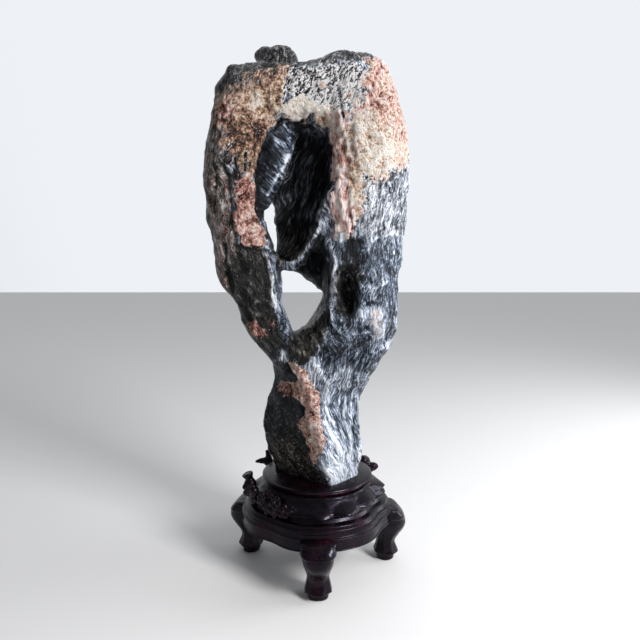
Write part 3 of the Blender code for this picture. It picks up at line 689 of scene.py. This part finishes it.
def rock_piece():
    piece = new_piece("rock_surface", welded_copy("rock"))
    subdivide(piece, 2)
    remesh(piece, ROCK_VOXEL, ROCK_SMOOTHING)
    apply_modifiers(piece)
    mesh = piece.data
    points, normals = points_of(mesh), normals_of(mesh)
    flow, finger, cave = lines_of_stone(points)
    front_share = facing(points, normals)
    scars = scar_share(points) * front_share
    relief = relief_layers(points, flow, front_share)
    looks = paint(points, front_share, scars, relief)
    set_layer(mesh, "flow", flow)
    set_layer(mesh, "bare", np.stack([looks["light"], looks["earth"], looks["streak"]], axis=1))
    set_layer(mesh, "cover", np.stack([looks["crust"], looks["blush"], looks["bright"]], axis=1))
    raised = smooth_step((looks["crust"] - 0.5) * 3.5)
    move = rock_relief(points, relief, flow, finger, cave, raised, front_share, scars)
    set_points(mesh, points + normals * move[:, None])
    mesh.shade_smooth()
    mesh.materials.clear()
    mesh.materials.append(stone_material())
    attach(piece, "root")
    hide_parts("rock")


# ---- materials ----


class Nodes:
    """Makes the nodes of a material or a world, each linked to what feeds it."""

    def __init__(self, owner, shader="Principled BSDF"):
        self.owner = owner
        owner.use_nodes = True
        self.tree = owner.node_tree
        self.shader = self.tree.nodes[shader]

    def add(self, kind, inputs=(), output=0, **settings):
        """A node with these settings, whose inputs are given by name or place."""
        made = self.tree.nodes.new("ShaderNode" + kind)
        for key, value in settings.items():
            setattr(made, key, value)
        for key, value in dict(inputs).items():
            self.feed(made.inputs[key], value)
        return made.outputs[output]

    def feed(self, socket, value):
        if isinstance(value, bpy.types.NodeSocket):
            self.tree.links.new(value, socket)
        else:
            socket.default_value = value

    def shade(self, inputs):
        """Feeds the shader's inputs, given by name."""
        for key, value in inputs.items():
            self.feed(self.shader.inputs[key], value)

    def layer(self, name, output="Fac"):
        return self.add("Attribute", output=output, attribute_name=name)

    def calculate(self, operation, first, second=0.0, third=0.0):
        inputs = {0: first, 1: second, 2: third}
        return self.add("Math", inputs, operation=operation)

    def scaled(self, vector, factors):
        return self.add("VectorMath", {0: vector, 1: factors}, operation="MULTIPLY")

    def millimetres(self):
        """The place on the piece, in millimetres."""
        return self.scaled(self.add("TexCoord", output="Object"), (1000, 1000, 1000))

    def noise(self, vector, scale, detail, roughness, distortion=0.0):
        inputs = {
            "Vector": vector,
            "Scale": scale,
            "Detail": detail,
            "Roughness": roughness,
            "Distortion": distortion,
        }
        return self.add("TexNoise", inputs)

    def between(self, value, low, high, to_low=0.0, to_high=1.0):
        inputs = {0: value, 1: low, 2: high, 3: to_low, 4: to_high}
        return self.add("MapRange", inputs, clamp=True)

    def sway(self, start, *layers):
        """The start value, swayed up and down by each noise times its strength."""
        for layer, strength in layers:
            centred = self.calculate("SUBTRACT", layer, 0.5)
            start = self.calculate("MULTIPLY_ADD", centred, strength, start)
        return start

    def blend(self, share, first, second):
        """A number that goes from the first to the second."""
        return self.add("Mix", {0: share, 2: first, 3: second}, data_type="FLOAT")

    def mix(self, share, first, second):
        inputs = {0: share, 6: first, 7: second}
        return self.add("Mix", inputs, output=2, data_type="RGBA")

    def ramp(self, value, stops):
        made = self.tree.nodes.new("ShaderNodeValToRGB")
        elements = made.color_ramp.elements
        for index, (place, colour) in enumerate(stops):
            element = elements[index] if index < 2 else elements.new(place)
            element.position = place
            element.color = (*colour, 1)
        self.feed(made.inputs[0], value)
        return made.outputs[0]

    def parts(self, vector):
        """The three numbers that a vector holds."""
        made = self.tree.nodes.new("ShaderNodeSeparateXYZ")
        self.feed(made.inputs[0], vector)
        return made.outputs

    def lines(self, vector, width, winding):
        """1 along thin lines and 0 between them."""
        field = self.noise(vector, 1, 3, 0.5, winding)
        gap = self.calculate("ABSOLUTE", self.calculate("SUBTRACT", field, 0.5))
        return self.between(gap, 0, width, 1, 0)

    def bump(self, height, strength, distance):
        inputs = {"Height": height, "Strength": strength, "Distance": distance}
        return self.add("Bump", inputs)


BARE_STONE = [
    (0.0, (0.0015, 0.0018, 0.0022)),
    (0.2, (0.006, 0.007, 0.009)),
    (0.35, (0.025, 0.030, 0.042)),
    (0.5, (0.094, 0.117, 0.158)),
    (0.65, (0.25, 0.30, 0.38)),
    (0.8, (0.49, 0.55, 0.65)),
    (1.0, (0.86, 0.88, 0.91)),
]
EARTHY_STONE = [
    (0.0, (0.0018, 0.0017, 0.0016)),
    (0.2, (0.009, 0.0088, 0.007)),
    (0.35, (0.040, 0.038, 0.029)),
    (0.5, (0.13, 0.115, 0.095)),
    (0.65, (0.30, 0.25, 0.22)),
    (0.8, (0.54, 0.49, 0.45)),
    (1.0, (0.86, 0.82, 0.78)),
]
TAN_CRUST = [
    (0.15, (0.012, 0.009, 0.007)),
    (0.32, (0.085, 0.050, 0.033)),
    (0.48, (0.31, 0.17, 0.10)),
    (0.64, (0.60, 0.39, 0.26)),
    (0.82, (0.86, 0.70, 0.55)),
    (1.0, (0.97, 0.91, 0.82)),
]
BLUSH_CRUST = [
    (0.15, (0.014, 0.008, 0.008)),
    (0.32, (0.11, 0.043, 0.038)),
    (0.48, (0.37, 0.155, 0.125)),
    (0.64, (0.67, 0.37, 0.305)),
    (0.82, (0.88, 0.60, 0.53)),
    (1.0, (0.97, 0.85, 0.81)),
]
# How fast the patterns change across, through and along the lines of the stone, per millimetre.
BAND_RATE = (0.16, 0.08, 0.045)
THREAD_RATE = (0.48, 0.22, 0.075)
CRUST_FOLD_RATE = (0.40, 0.2, 0.045)
LONG_SCRATCH_RATE = (0.12, 0.06, 0.028)
SHORT_SCRATCH_RATE = (0.24, 0.10, 0.03)
# The mottle is drawn out along a line that is turned in the front view.
MOTTLE = {"Rotation": (0, math.radians(40), 0), "Scale": (0.75, 1, 1.6)}
CRUST_BRIGHTNESS = 0.48
CRUST_ROUGHNESS = 0.7
STONE_GLOSS = 0.22
STONE_BUMP_DEPTH = 0.004


def stone_material():
    nodes = Nodes(bpy.data.materials.new("weathered_stone"))
    place = nodes.millimetres()
    flow = nodes.layer("flow", "Vector")
    light, earth, streak = nodes.parts(nodes.layer("bare", "Vector"))
    crust, blush, bright = nodes.parts(nodes.layer("cover", "Vector"))

    bands = nodes.noise(nodes.scaled(flow, BAND_RATE), 1, 5, 0.62, 1.3)
    threads = nodes.noise(nodes.scaled(flow, THREAD_RATE), 1, 5, 0.68, 0.8)
    drawn_out = nodes.add("Mapping", {"Vector": place, **MOTTLE}, vector_type="TEXTURE")
    mottle = nodes.noise(drawn_out, 0.29, 2.5, 0.6, 1)
    specks = nodes.noise(place, 0.6, 4, 0.7)
    clouds = nodes.noise(place, 0.05, 4, 0.6, 0.6)
    drawn = nodes.sway(0.5, (bands, 0.8), (threads, 1.75))
    mottled = nodes.sway(0.5, (nodes.between(mottle, 0.43, 0.57), 1.1), (specks, 1.4))
    pattern = nodes.blend(streak, mottled, drawn)
    contrast = nodes.between(light, 0, 0.25, 0.85, 1.2)
    shade = nodes.sway(light, (pattern, contrast), (clouds, 0.7))
    long_scratches = nodes.lines(nodes.scaled(flow, LONG_SCRATCH_RATE), 0.022, 1.2)
    short_scratches = nodes.lines(nodes.scaled(flow, SHORT_SCRATCH_RATE), 0.026, 0.3)
    scratches = nodes.calculate("MULTIPLY_ADD", short_scratches, 0.7, long_scratches)
    paleness = nodes.between(light, 0, 0.6, 0.13, 0.31)
    shade = nodes.calculate("MULTIPLY_ADD", scratches, paleness, shade)
    bare = nodes.mix(earth, nodes.ramp(shade, BARE_STONE), nodes.ramp(shade, EARTHY_STONE))

    grains = nodes.noise(place, 0.29, 4, 0.78)
    lumps = nodes.noise(place, 0.12, 5, 0.62, 1.3)
    drift = nodes.noise(place, 0.04, 3, 0.55)
    folds = nodes.noise(nodes.scaled(flow, CRUST_FOLD_RATE), 1, 4, 0.6, 0.8)
    grainy = nodes.sway(0.5, (grains, 2.4))
    folded = nodes.sway(0.5, (folds, 2.3), (grains, 0.7))
    texture = nodes.blend(streak, grainy, folded)
    start = nodes.calculate("ADD", bright, CRUST_BRIGHTNESS)
    grit = nodes.sway(start, (texture, 1), (lumps, 1), (drift, 0.7))
    pinkness = nodes.between(nodes.sway(blush, (drift, -1.2), (lumps, 0.8)), 0, 1)
    rough = nodes.mix(pinkness, nodes.ramp(grit, TAN_CRUST), nodes.ramp(grit, BLUSH_CRUST))
    ragged = nodes.sway(crust, (grains, 1.5), (lumps, 1.2))
    covered = nodes.between(ragged, 0.38, 0.62)

    polish = nodes.between(threads, 0.3, 0.7, 0.22, 0.42)
    carved = nodes.sway(0.4, (pattern, 0.8), (mottle, 0.4))
    carved = nodes.calculate("MULTIPLY", carved, nodes.between(light, -0.05, 0.2, 0.25, 1))
    crusted = nodes.sway(0.7, (texture, 1.2), (lumps, 1.2))
    nodes.shade({
        "Base Color": nodes.mix(covered, bare, rough),
        "Roughness": nodes.blend(covered, polish, CRUST_ROUGHNESS),
        "Specular IOR Level": STONE_GLOSS,
        "Normal": nodes.bump(nodes.blend(covered, carved, crusted), 1, STONE_BUMP_DEPTH),
    })
    return nodes.owner


LACQUER = [
    (0.2, (0.0008, 0.0007, 0.0009)),
    (0.5, (0.0030, 0.0012, 0.0020)),
    (0.75, (0.013, 0.0022, 0.0055)),
    (1.0, (0.075, 0.006, 0.014)),
]
GRAIN_RATE = (0.10, 0.10, 0.45)
# The groove under the seat, where the lacquer shows red: its height and how red it is there.
NECK_HEIGHT = 110.4
NECK_RED = 0.36


def lacquer_material(name, neck_red=0.0):
    """Nearly black lacquer that glows dark red where it is thin."""
    nodes = Nodes(bpy.data.materials.new(name))
    place = nodes.millimetres()
    grain = nodes.noise(nodes.scaled(place, GRAIN_RATE), 1, 6, 0.62, 1)
    wear = nodes.noise(place, 0.05, 5, 0.62)
    dust = nodes.noise(place, 0.4, 4, 0.7)
    glow = nodes.noise(place, 0.028, 3, 0.5, 0.5)
    height = nodes.parts(place)[2]
    off_neck = nodes.calculate("ABSOLUTE", nodes.calculate("SUBTRACT", height, NECK_HEIGHT))
    redness = nodes.calculate("ADD", nodes.between(off_neck, 1, 2.6, neck_red, 0), 0.42)
    polish = nodes.sway(0.28, (wear, 0.35), (dust, 0.25))
    carving = nodes.sway(0.5, (grain, 0.6), (dust, 0.08))
    nodes.shade({
        "Base Color": nodes.ramp(nodes.sway(redness, (grain, 0.9), (wear, 0.8), (glow, 1)), LACQUER),
        "Roughness": nodes.between(polish, 0.12, 0.55, 0.12, 0.55),
        "Specular IOR Level": 0.14,
        "Specular Tint": (0.78, 0.70, 1.0, 1),
        "Coat Weight": 0.1,
        "Coat Roughness": 0.1,
        "Normal": nodes.bump(carving, 0.35, 0.0012),
    })
    return nodes.owner


def plain_material(name, colour, roughness):
    nodes = Nodes(bpy.data.materials.new(name))
    nodes.shade({"Base Color": (*colour, 1), "Roughness": roughness})
    return nodes.owner


# ---- the stand ----
# Its outline from the seat down: z, half width, half depth, share of the lobed plan, share of
# the rocky shoulder. Between the levels it runs straight, and beads stand out from it.

BODY_OUTLINE = [
    (116, 64.6, 59.6, 0, 0),
    (115.2, 66.2, 61.2, 0, 0),
    (114, 66.6, 61.6, 0, 0),
    (113.2, 65.4, 60.4, 0, 0),
    (112.2, 63.2, 58.4, 0, 0),
    (109.6, 62.6, 58, 0.1, 0),
    (108.2, 64.4, 60, 0.2, 0),
    (107, 66.2, 62, 0.3, 0.2),
    (104, 69, 65.4, 0.4, 0.75),
    (98, 72.6, 70.2, 0.7, 1),
    (94, 75.2, 73.2, 0.9, 1),
    (90.4, 76.4, 74.2, 1, 0.9),
    (88, 76.2, 73.8, 1, 0.3),
    (84.4, 78, 75.8, 1, 0),
    (83, 81.8, 79.8, 1, 0),
    (82.2, 83, 80.8, 1, 0),
    (77, 85.8, 82.4, 1, 0),
    (76.2, 87.2, 83.6, 1, 0),
    (71, 88.8, 84.6, 1, 0),
    (70.2, 90.4, 86, 1, 0),
    (68.6, 90.4, 86, 1, 0),
    (67.8, 89.4, 85.2, 1, 0),
    (56.4, 90, 87, 1, 0),
    (55, 88.8, 85.8, 1, 0),
]
BEADS = [(114.0, 1.4), (107.2, 0.9), (82.0, 1.3), (76.0, 1.2), (69.4, 1.0), (57.0, 1.0)]
BODY_STEP = 0.5
BODY_SIDES = 256
UNDERCUT = ((55.0, 66.0), (64.0, 62.0))
NOTCH_BEARINGS = (-37.0, 62.0, 140.0, -130.0)
NOTCH_DEPTH = 3.6
NOTCH_WIDTH = 13.0
LOBE_SWELL = 2.2
RECESS_DEPTH = 7.0
RECESS_MARGIN = 0.8
RECESS_TOOL_RISE = 5.0
FOOT_ABOVE_SEAT = 3.0

# Folds of the shoulder, each steeper below than above: bearing, z, reach, spread in degrees, spread in z.
SHOULDER_NUBS = [
    (56, 94.5, 9, 16, 8),
    (27, 91.5, 7, 12, 6),
    (3, 89.5, 6.5, 11, 5),
    (-22, 91, 4.5, 14, 7),
    (-62, 92, 6, 16, 7),
    (87, 98.5, 12, 18, 9),
    (84, 92, 8.5, 15, 10),
    (114, 92, 6.5, 15, 7),
    (136, 90, 4.5, 14, 6),
    (160, 93, 6, 15, 7),
    (-176, 90.5, 4.5, 12, 6),
    (-154, 91, 6.5, 14, 7),
    (-128, 93, 4.5, 13, 7),
    (-100, 95, 5, 14, 7),
]
NUB_ABOVE = 1.5
NUB_BELOW = 0.4
# How sharply the folds meet, how far the shoulder stands out between them, and its radius.
NUB_EDGE = 1.6
SHOULDER_GROUND = -0.6
SHOULDER_RADIUS = 70.0
# Middles and sizes of the carved blossoms.
BLOSSOMS = [
    (-64, -45, 99, 8.6),
    (-56, -54, 92, 8.2),
    (-47, -59, 101, 8.8),
    (-37, -65, 93, 8.8),
    (-56, -48, 106, 6.4),
    (-48, -61, 90, 6.6),
    (-28, -69, 95, 6.4),
]
# Knots of the carved branch: place and radius.
BRANCH_KNOTS = [
    (-80.5, -27, 110, 7.4),
    (-85, -30, 107, 4.4),
    (-75.5, -31, 103, 5.6),
    (-82, -24, 99, 6.0),
]
# Each blossom has a ball behind, a boss in front and petals round it, as shares of its size.
BALL_SIZE, BALL_BACK = 0.62, 0.2
BOSS_SIZE, BOSS_FRONT = 0.25, 0.45
PETALS = 5
PETAL_SIZE, PETAL_FRONT, PETAL_REACH, PETAL_THICKNESS = 0.4, 0.25, 0.62, 0.5
# Each blossom is turned by this share of a petal more than the one before, and looks up a little.
PETAL_STAGGER = 0.37
BLOSSOM_LIFT = 22

# Each leg's bearing from the front, and how much further out its knee and its foot stand.
LEGS = {
    "leg_front": (1.0, 0.0, 0.0),
    "leg_right": (92.0, 0.5, 4.5),
    "leg_back": (181.0, 0.0, 0.0),
    "leg_left": (-104.0, 4.0, 6.0),
}
KNEE_LEVEL = 55.0
ANKLE_LEVEL = 25.0
# A leg from its block down to the pad it stands on: z, inner radius, outer radius, half width,
# how square its plan is, how much it is cut in facets.
LEG_OUTLINE = [
    (70.8, 82, 91, 14.5, 2.8, 0),
    (70.2, 78, 97, 18.4, 3.2, 0),
    (69, 75, 100, 20, 3.6, 0),
    (67.2, 73, 102.6, 20.6, 3.8, 0),
    (66.4, 73, 102.2, 19.7, 3.8, 0),
    (65.4, 73, 103.6, 19.9, 3.8, 0),
    (61, 71, 107.4, 20.6, 3.4, 0),
    (58.6, 70, 109, 20.7, 3.2, 0),
    (57.4, 70, 109.6, 20, 3, 0),
    (56.2, 70, 109.6, 18.5, 2.7, 0),
    (53, 69, 110.8, 18.3, 2.5, 0),
    (48, 68.5, 110.8, 17.6, 2.4, 0),
    (42.5, 69, 108.4, 16, 2.4, 0.2),
    (37, 70.5, 104.2, 14.2, 2.5, 0.5),
    (31.5, 71.5, 98.8, 12.8, 2.8, 0.8),
    (26.5, 72, 94.8, 12.3, 3, 1),
    (21.5, 71.5, 93.4, 12.8, 3, 1),
    (15.5, 70, 95.6, 14.2, 3, 1),
    (11, 68.5, 97.8, 15.2, 3, 1),
    (9.6, 68, 98.6, 15.6, 3, 1),
    (8.6, 68.6, 97.4, 14.8, 3, 1),
    (7.9, 71, 93.4, 12.2, 2.6, 0.3),
    (6.6, 71.5, 92.8, 11.9, 2.2, 0),
    (0.9, 71.5, 93.4, 12.3, 2.2, 0),
    (0, 72.2, 92.6, 11.7, 2.2, 0),
]
LEG_SIDES = 32
LEG_FACETS = 8


def bearing_gap(a, b):
    return (a - b + 180) % 360 - 180


def lobe_offset(bearing):
    """How far the lobed plan stands out from the round one."""
    gaps = [bearing_gap(bearing, middle) / NOTCH_WIDTH for middle in NOTCH_BEARINGS]
    notch = sum(np.exp(-(gap**2)) for gap in gaps)
    return LOBE_SWELL - (NOTCH_DEPTH + LOBE_SWELL) * notch


def shoulder_offset(bearing, z):
    """The carved shoulder: folds like hanging cloth, each drawn in below its fullest place."""
    reach = np.full(len(bearing), SHOULDER_GROUND)
    for middle, level, height, wide, tall in SHOULDER_NUBS:
        tall_here = tall * np.where(z > level, NUB_ABOVE, NUB_BELOW)
        spread = np.hypot(bearing_gap(bearing, middle) / wide, (z - level) / tall_here)
        rise = height * (1 - spread**1.3)
        reach = np.logaddexp(NUB_EDGE * reach, NUB_EDGE * rise) / NUB_EDGE
    turn = np.radians(bearing)
    level = 1.6 * z + 12 * np.sin(3 * turn)
    place = np.stack([SHOULDER_RADIUS * np.cos(turn), SHOULDER_RADIUS * np.sin(turn), level], axis=1)
    return reach + 1.1 * ridged(place, 30, 50) + 0.35 * ridged(place, 11, 51) - 0.8


def bead_offset(z):
    """How far the rounded mouldings stand out at this height."""
    return sum(math.sqrt(max(size * size - (z - level) ** 2, 0)) for level, size in BEADS)


def ring(z, bearing, half_width, half_depth):
    """Points round the stand's axis at one height, by their bearing from the front."""
    turn = np.radians(bearing)
    return np.stack([half_width * np.sin(turn), -half_depth * np.cos(turn), np.full(len(bearing), z)], axis=1)


def body_ring(z, bearing):
    levels, *columns = zip(*BODY_OUTLINE[::-1])
    half_width, half_depth, lobed, rocky = (np.interp(z, levels, column) for column in columns)
    extra = lobed * lobe_offset(bearing) + rocky * shoulder_offset(bearing, np.full(len(bearing), z))
    extra = extra + bead_offset(z)
    return ring(z, bearing, half_width + extra, half_depth + extra)


def body_rings():
    bearing = np.arange(BODY_SIDES) * 360 / BODY_SIDES
    top, bottom = BODY_OUTLINE[0][0], BODY_OUTLINE[-1][0]
    rings = [body_ring(z, bearing) for z in np.arange(top, bottom - BODY_STEP / 2, -BODY_STEP)]
    return rings + [ring(z, bearing, radius, radius) for z, radius in UNDERCUT]


def loft(name, rings):
    """A closed mesh through these rings of points, with a flat face on each end."""
    shape = bmesh.new()
    rows = [[shape.verts.new(point * MM + AXIS) for point in points] for points in rings]
    for low, high in zip(rows, rows[1:]):
        for here in range(len(low)):
            after = (here + 1) % len(low)
            shape.faces.new((low[here], low[after], high[after], high[here]))
    shape.faces.new(rows[0][::-1])
    shape.faces.new(rows[-1])
    bmesh.ops.recalc_face_normals(shape, faces=shape.faces)
    return mesh_from(shape, name)


def leg_rings(bearing, knee_shift, foot_shift):
    turn = math.radians(bearing)
    outward = np.array((math.sin(turn), -math.cos(turn), 0))
    across = np.array((math.cos(turn), math.sin(turn), 0))
    round_it = np.arange(LEG_SIDES) * 2 * math.pi / LEG_SIDES
    cosine, sine = np.cos(round_it), np.sin(round_it)
    half_facet = math.pi / LEG_FACETS
    facet = 1 / np.cos((round_it + half_facet) % (2 * half_facet) - half_facet)
    rings = []
    for z, inner, outer, half_width, square, faceted in LEG_OUTLINE:
        shift = np.interp(z, (ANKLE_LEVEL, KNEE_LEVEL), (foot_shift, knee_shift))
        swell = (np.abs(cosine) ** square + np.abs(sine) ** square) ** (-1 / square)
        swell = swell + (facet - swell) * faceted
        reach = (inner + outer) / 2 + shift + (outer - inner) / 2 * swell * cosine
        aside = half_width * swell * sine
        rings.append(reach[:, None] * outward + aside[:, None] * across + np.array((0, 0, z)))
    return rings


def foot_outline():
    """Corners of the outline of the part of the rock that is sunk in the seat."""
    points = points_of(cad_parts["rock"].data)
    sunk = [Vector(point[:2]) for point in points if point[2] < SEAT_TOP + FOOT_ABOVE_SEAT]
    return [sunk[corner] for corner in geometry.convex_hull_2d(sunk)]


def cut_recess(piece):
    """The pocket in the seat that the rock's foot stands in."""
    outline = foot_outline()
    middle = sum(outline, Vector((0, 0))) / len(outline)
    grown = [corner + (corner - middle).normalized() * RECESS_MARGIN for corner in outline]
    levels = (SEAT_TOP - RECESS_DEPTH, SEAT_TOP + RECESS_TOOL_RISE)
    rings = [np.array([(*corner, z) for corner in grown]) for z in levels]
    tool = new_piece("recess_tool", loft("recess_tool", rings))
    boolean = piece.modifiers.new("Recess", "BOOLEAN")
    boolean.operation = "DIFFERENCE"
    boolean.object = tool
    apply_modifiers(piece)
    bpy.data.objects.remove(tool, do_unlink=True)


def finish_wood(piece, surface, slot, *nodes, sharp=35):
    """Gives the piece its wood and body; its slot is not used. Edges above the sharp angle aren't shaded
    smooth.
    """
    mesh = piece.data
    mesh.materials.clear()
    mesh.materials.append(surface)
    mesh.shade_smooth()
    if sharp:
        mesh.set_sharp_from_angle(angle=math.radians(sharp))
    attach(piece, "root")
    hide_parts(*nodes)


def carve(piece, voxel, smoothing, grain, height):
    """Makes the piece one skin, with knife marks over it."""
    remesh(piece, voxel, smoothing)
    apply_modifiers(piece)
    add_ridges(piece.data, height, grain, seed=60)


def add_ball(shape, centre, radius, squash=None):
    place = Matrix.Translation(Vector(centre) * MM + Vector(AXIS))
    if squash:
        place = place @ squash
    bmesh.ops.create_icosphere(shape, subdivisions=3, radius=radius * MM, matrix=place)


def add_knots(mesh):
    shape = bmesh.new()
    shape.from_mesh(mesh)
    for *place, radius in BRANCH_KNOTS:
        add_ball(shape, place, radius)
    shape.to_mesh(mesh)
    shape.free()


def blossom_mesh():
    """Five-petalled blossoms that face outwards, each round a small boss."""
    shape = bmesh.new()
    for count, (x, y, z, size) in enumerate(BLOSSOMS):
        outward = Vector((x, y, BLOSSOM_LIFT)).normalized()
        side = outward.orthogonal().normalized()
        up = outward.cross(side)
        centre = Vector((x, y, z))
        add_ball(shape, centre - outward * BALL_BACK * size, BALL_SIZE * size)
        add_ball(shape, centre + outward * BOSS_FRONT * size, BOSS_SIZE * size)
        tilt = outward.to_track_quat("Z", "Y").to_matrix().to_4x4()
        flat = tilt @ Matrix.Diagonal((1, 1, PETAL_THICKNESS, 1)) @ tilt.inverted()
        for petal in range(PETALS):
            turn = 2 * math.pi * (petal + PETAL_STAGGER * count) / PETALS
            spoke = side * math.cos(turn) + up * math.sin(turn)
            middle = centre + spoke * PETAL_REACH * size + outward * PETAL_FRONT * size
            add_ball(shape, middle, PETAL_SIZE * size, flat)
    return mesh_from(shape, "blossoms")


def stand_pieces():
    lacquer = lacquer_material("lacquered_rosewood")
    seat_lacquer = lacquer_material("lacquered_seat", NECK_RED)
    body = new_piece("stand_turned_body", loft("stand_turned_body", body_rings()))
    cut_recess(body)
    finish_wood(body, seat_lacquer, "stand_wood", "stand_body", sharp=50)
    for leg, placing in LEGS.items():
        piece = new_piece(leg + "_carved", loft(leg, leg_rings(*placing)))
        subdivide(piece, 2)
        apply_modifiers(piece)
        add_ridges(piece.data, height=0.25, size=9, seed=61)
        finish_wood(piece, lacquer, "stand_wood", leg, sharp=0)
    for node in ("branch_stub", "fungus_left", "fungus_right"):
        mesh = welded_copy(node)
        if node == "branch_stub":
            add_knots(mesh)
        piece = new_piece(node + "_carved", mesh)
        carve(piece, voxel=0.8, smoothing=6, grain=6, height=0.5)
        finish_wood(piece, lacquer, "carving_wood", node)
    blossoms = new_piece("blossoms_carved", blossom_mesh())
    carve(blossoms, voxel=0.7, smoothing=2, grain=3, height=0.15)
    finish_wood(blossoms, lacquer, "carving_wood", "blossom_spray")


# ---- the stage ----


SKY_COLOUR = (0.93, 0.96, 1.0, 1)
# The sky is brightest on this side, and grows from dim to bright as one turns to it.
SKY_SIDE = (0.55, 0.8, 0.25)
SKY_DIM, SKY_DIM_FROM = 0.20, -0.35
SKY_BRIGHT, SKY_BRIGHT_FROM = 0.92, 0.55
# Soft lamps: place, size, power and colour.
LAMPS = {
    "key": ((0.95, -0.85, 0.95), 0.45, 30, (0.98, 0.98, 1.0)),
    "side": ((1.2, 0.1, 0.5), 0.7, 12, (0.93, 0.96, 1.0)),
}
LAMP_TARGET = (0, 0, 0.33)
FLOOR_SIZE = 8
FLOOR_COLOUR = (0.62, 0.61, 0.60)
FLOOR_ROUGHNESS = 0.6


def studio_sky():
    """Even light that is brighter behind the object and to its right than at the front left."""
    world = bpy.data.worlds.new("studio")
    bpy.context.scene.world = world
    nodes = Nodes(world, "Background")
    sides = {0: nodes.add("TexCoord", output="Generated"), 1: Vector(SKY_SIDE).normalized()}
    nearness = nodes.add("VectorMath", sides, output="Value", operation="DOT_PRODUCT")
    levels = {0: nearness, 1: SKY_DIM_FROM, 2: SKY_BRIGHT_FROM, 3: SKY_DIM, 4: SKY_BRIGHT}
    strength = nodes.add("MapRange", levels, interpolation_type="SMOOTHSTEP")
    nodes.shade({"Color": SKY_COLOUR, "Strength": strength})


def add_lamps():
    for name, (place, size, power, colour) in LAMPS.items():
        light = bpy.data.lights.new(name, "AREA")
        light.size = size
        light.energy = power
        light.color = colour
        lamp = bpy.data.objects.new(name, light)
        lamp.location = place
        aim = Vector(LAMP_TARGET) - Vector(place)
        lamp.rotation_euler = aim.to_track_quat("-Z", "Y").to_euler()
        bpy.context.scene.collection.objects.link(lamp)


def floor():
    bpy.ops.mesh.primitive_plane_add(size=FLOOR_SIZE)
    plane = bpy.context.object
    plane.name = "floor"
    plane.data.materials.append(plain_material("pale_floor", FLOOR_COLOUR, FLOOR_ROUGHNESS))


def make_camera():
    camera = bpy.data.objects.new("camera", bpy.data.cameras.new("camera"))
    camera.data.lens = CAMERA_LENS
    camera.location = Vector(CAMERA_PLACE) + Vector(AXIS)
    camera.rotation_euler = (math.radians(90 - CAMERA_PITCH_DOWN), 0, 0)
    bpy.context.scene.collection.objects.link(camera)
    bpy.context.scene.camera = camera


bpy.context.scene.view_settings.view_transform = "Standard"
make_camera()
floor()
studio_sky()
add_lamps()
rock_piece()
stand_pieces()
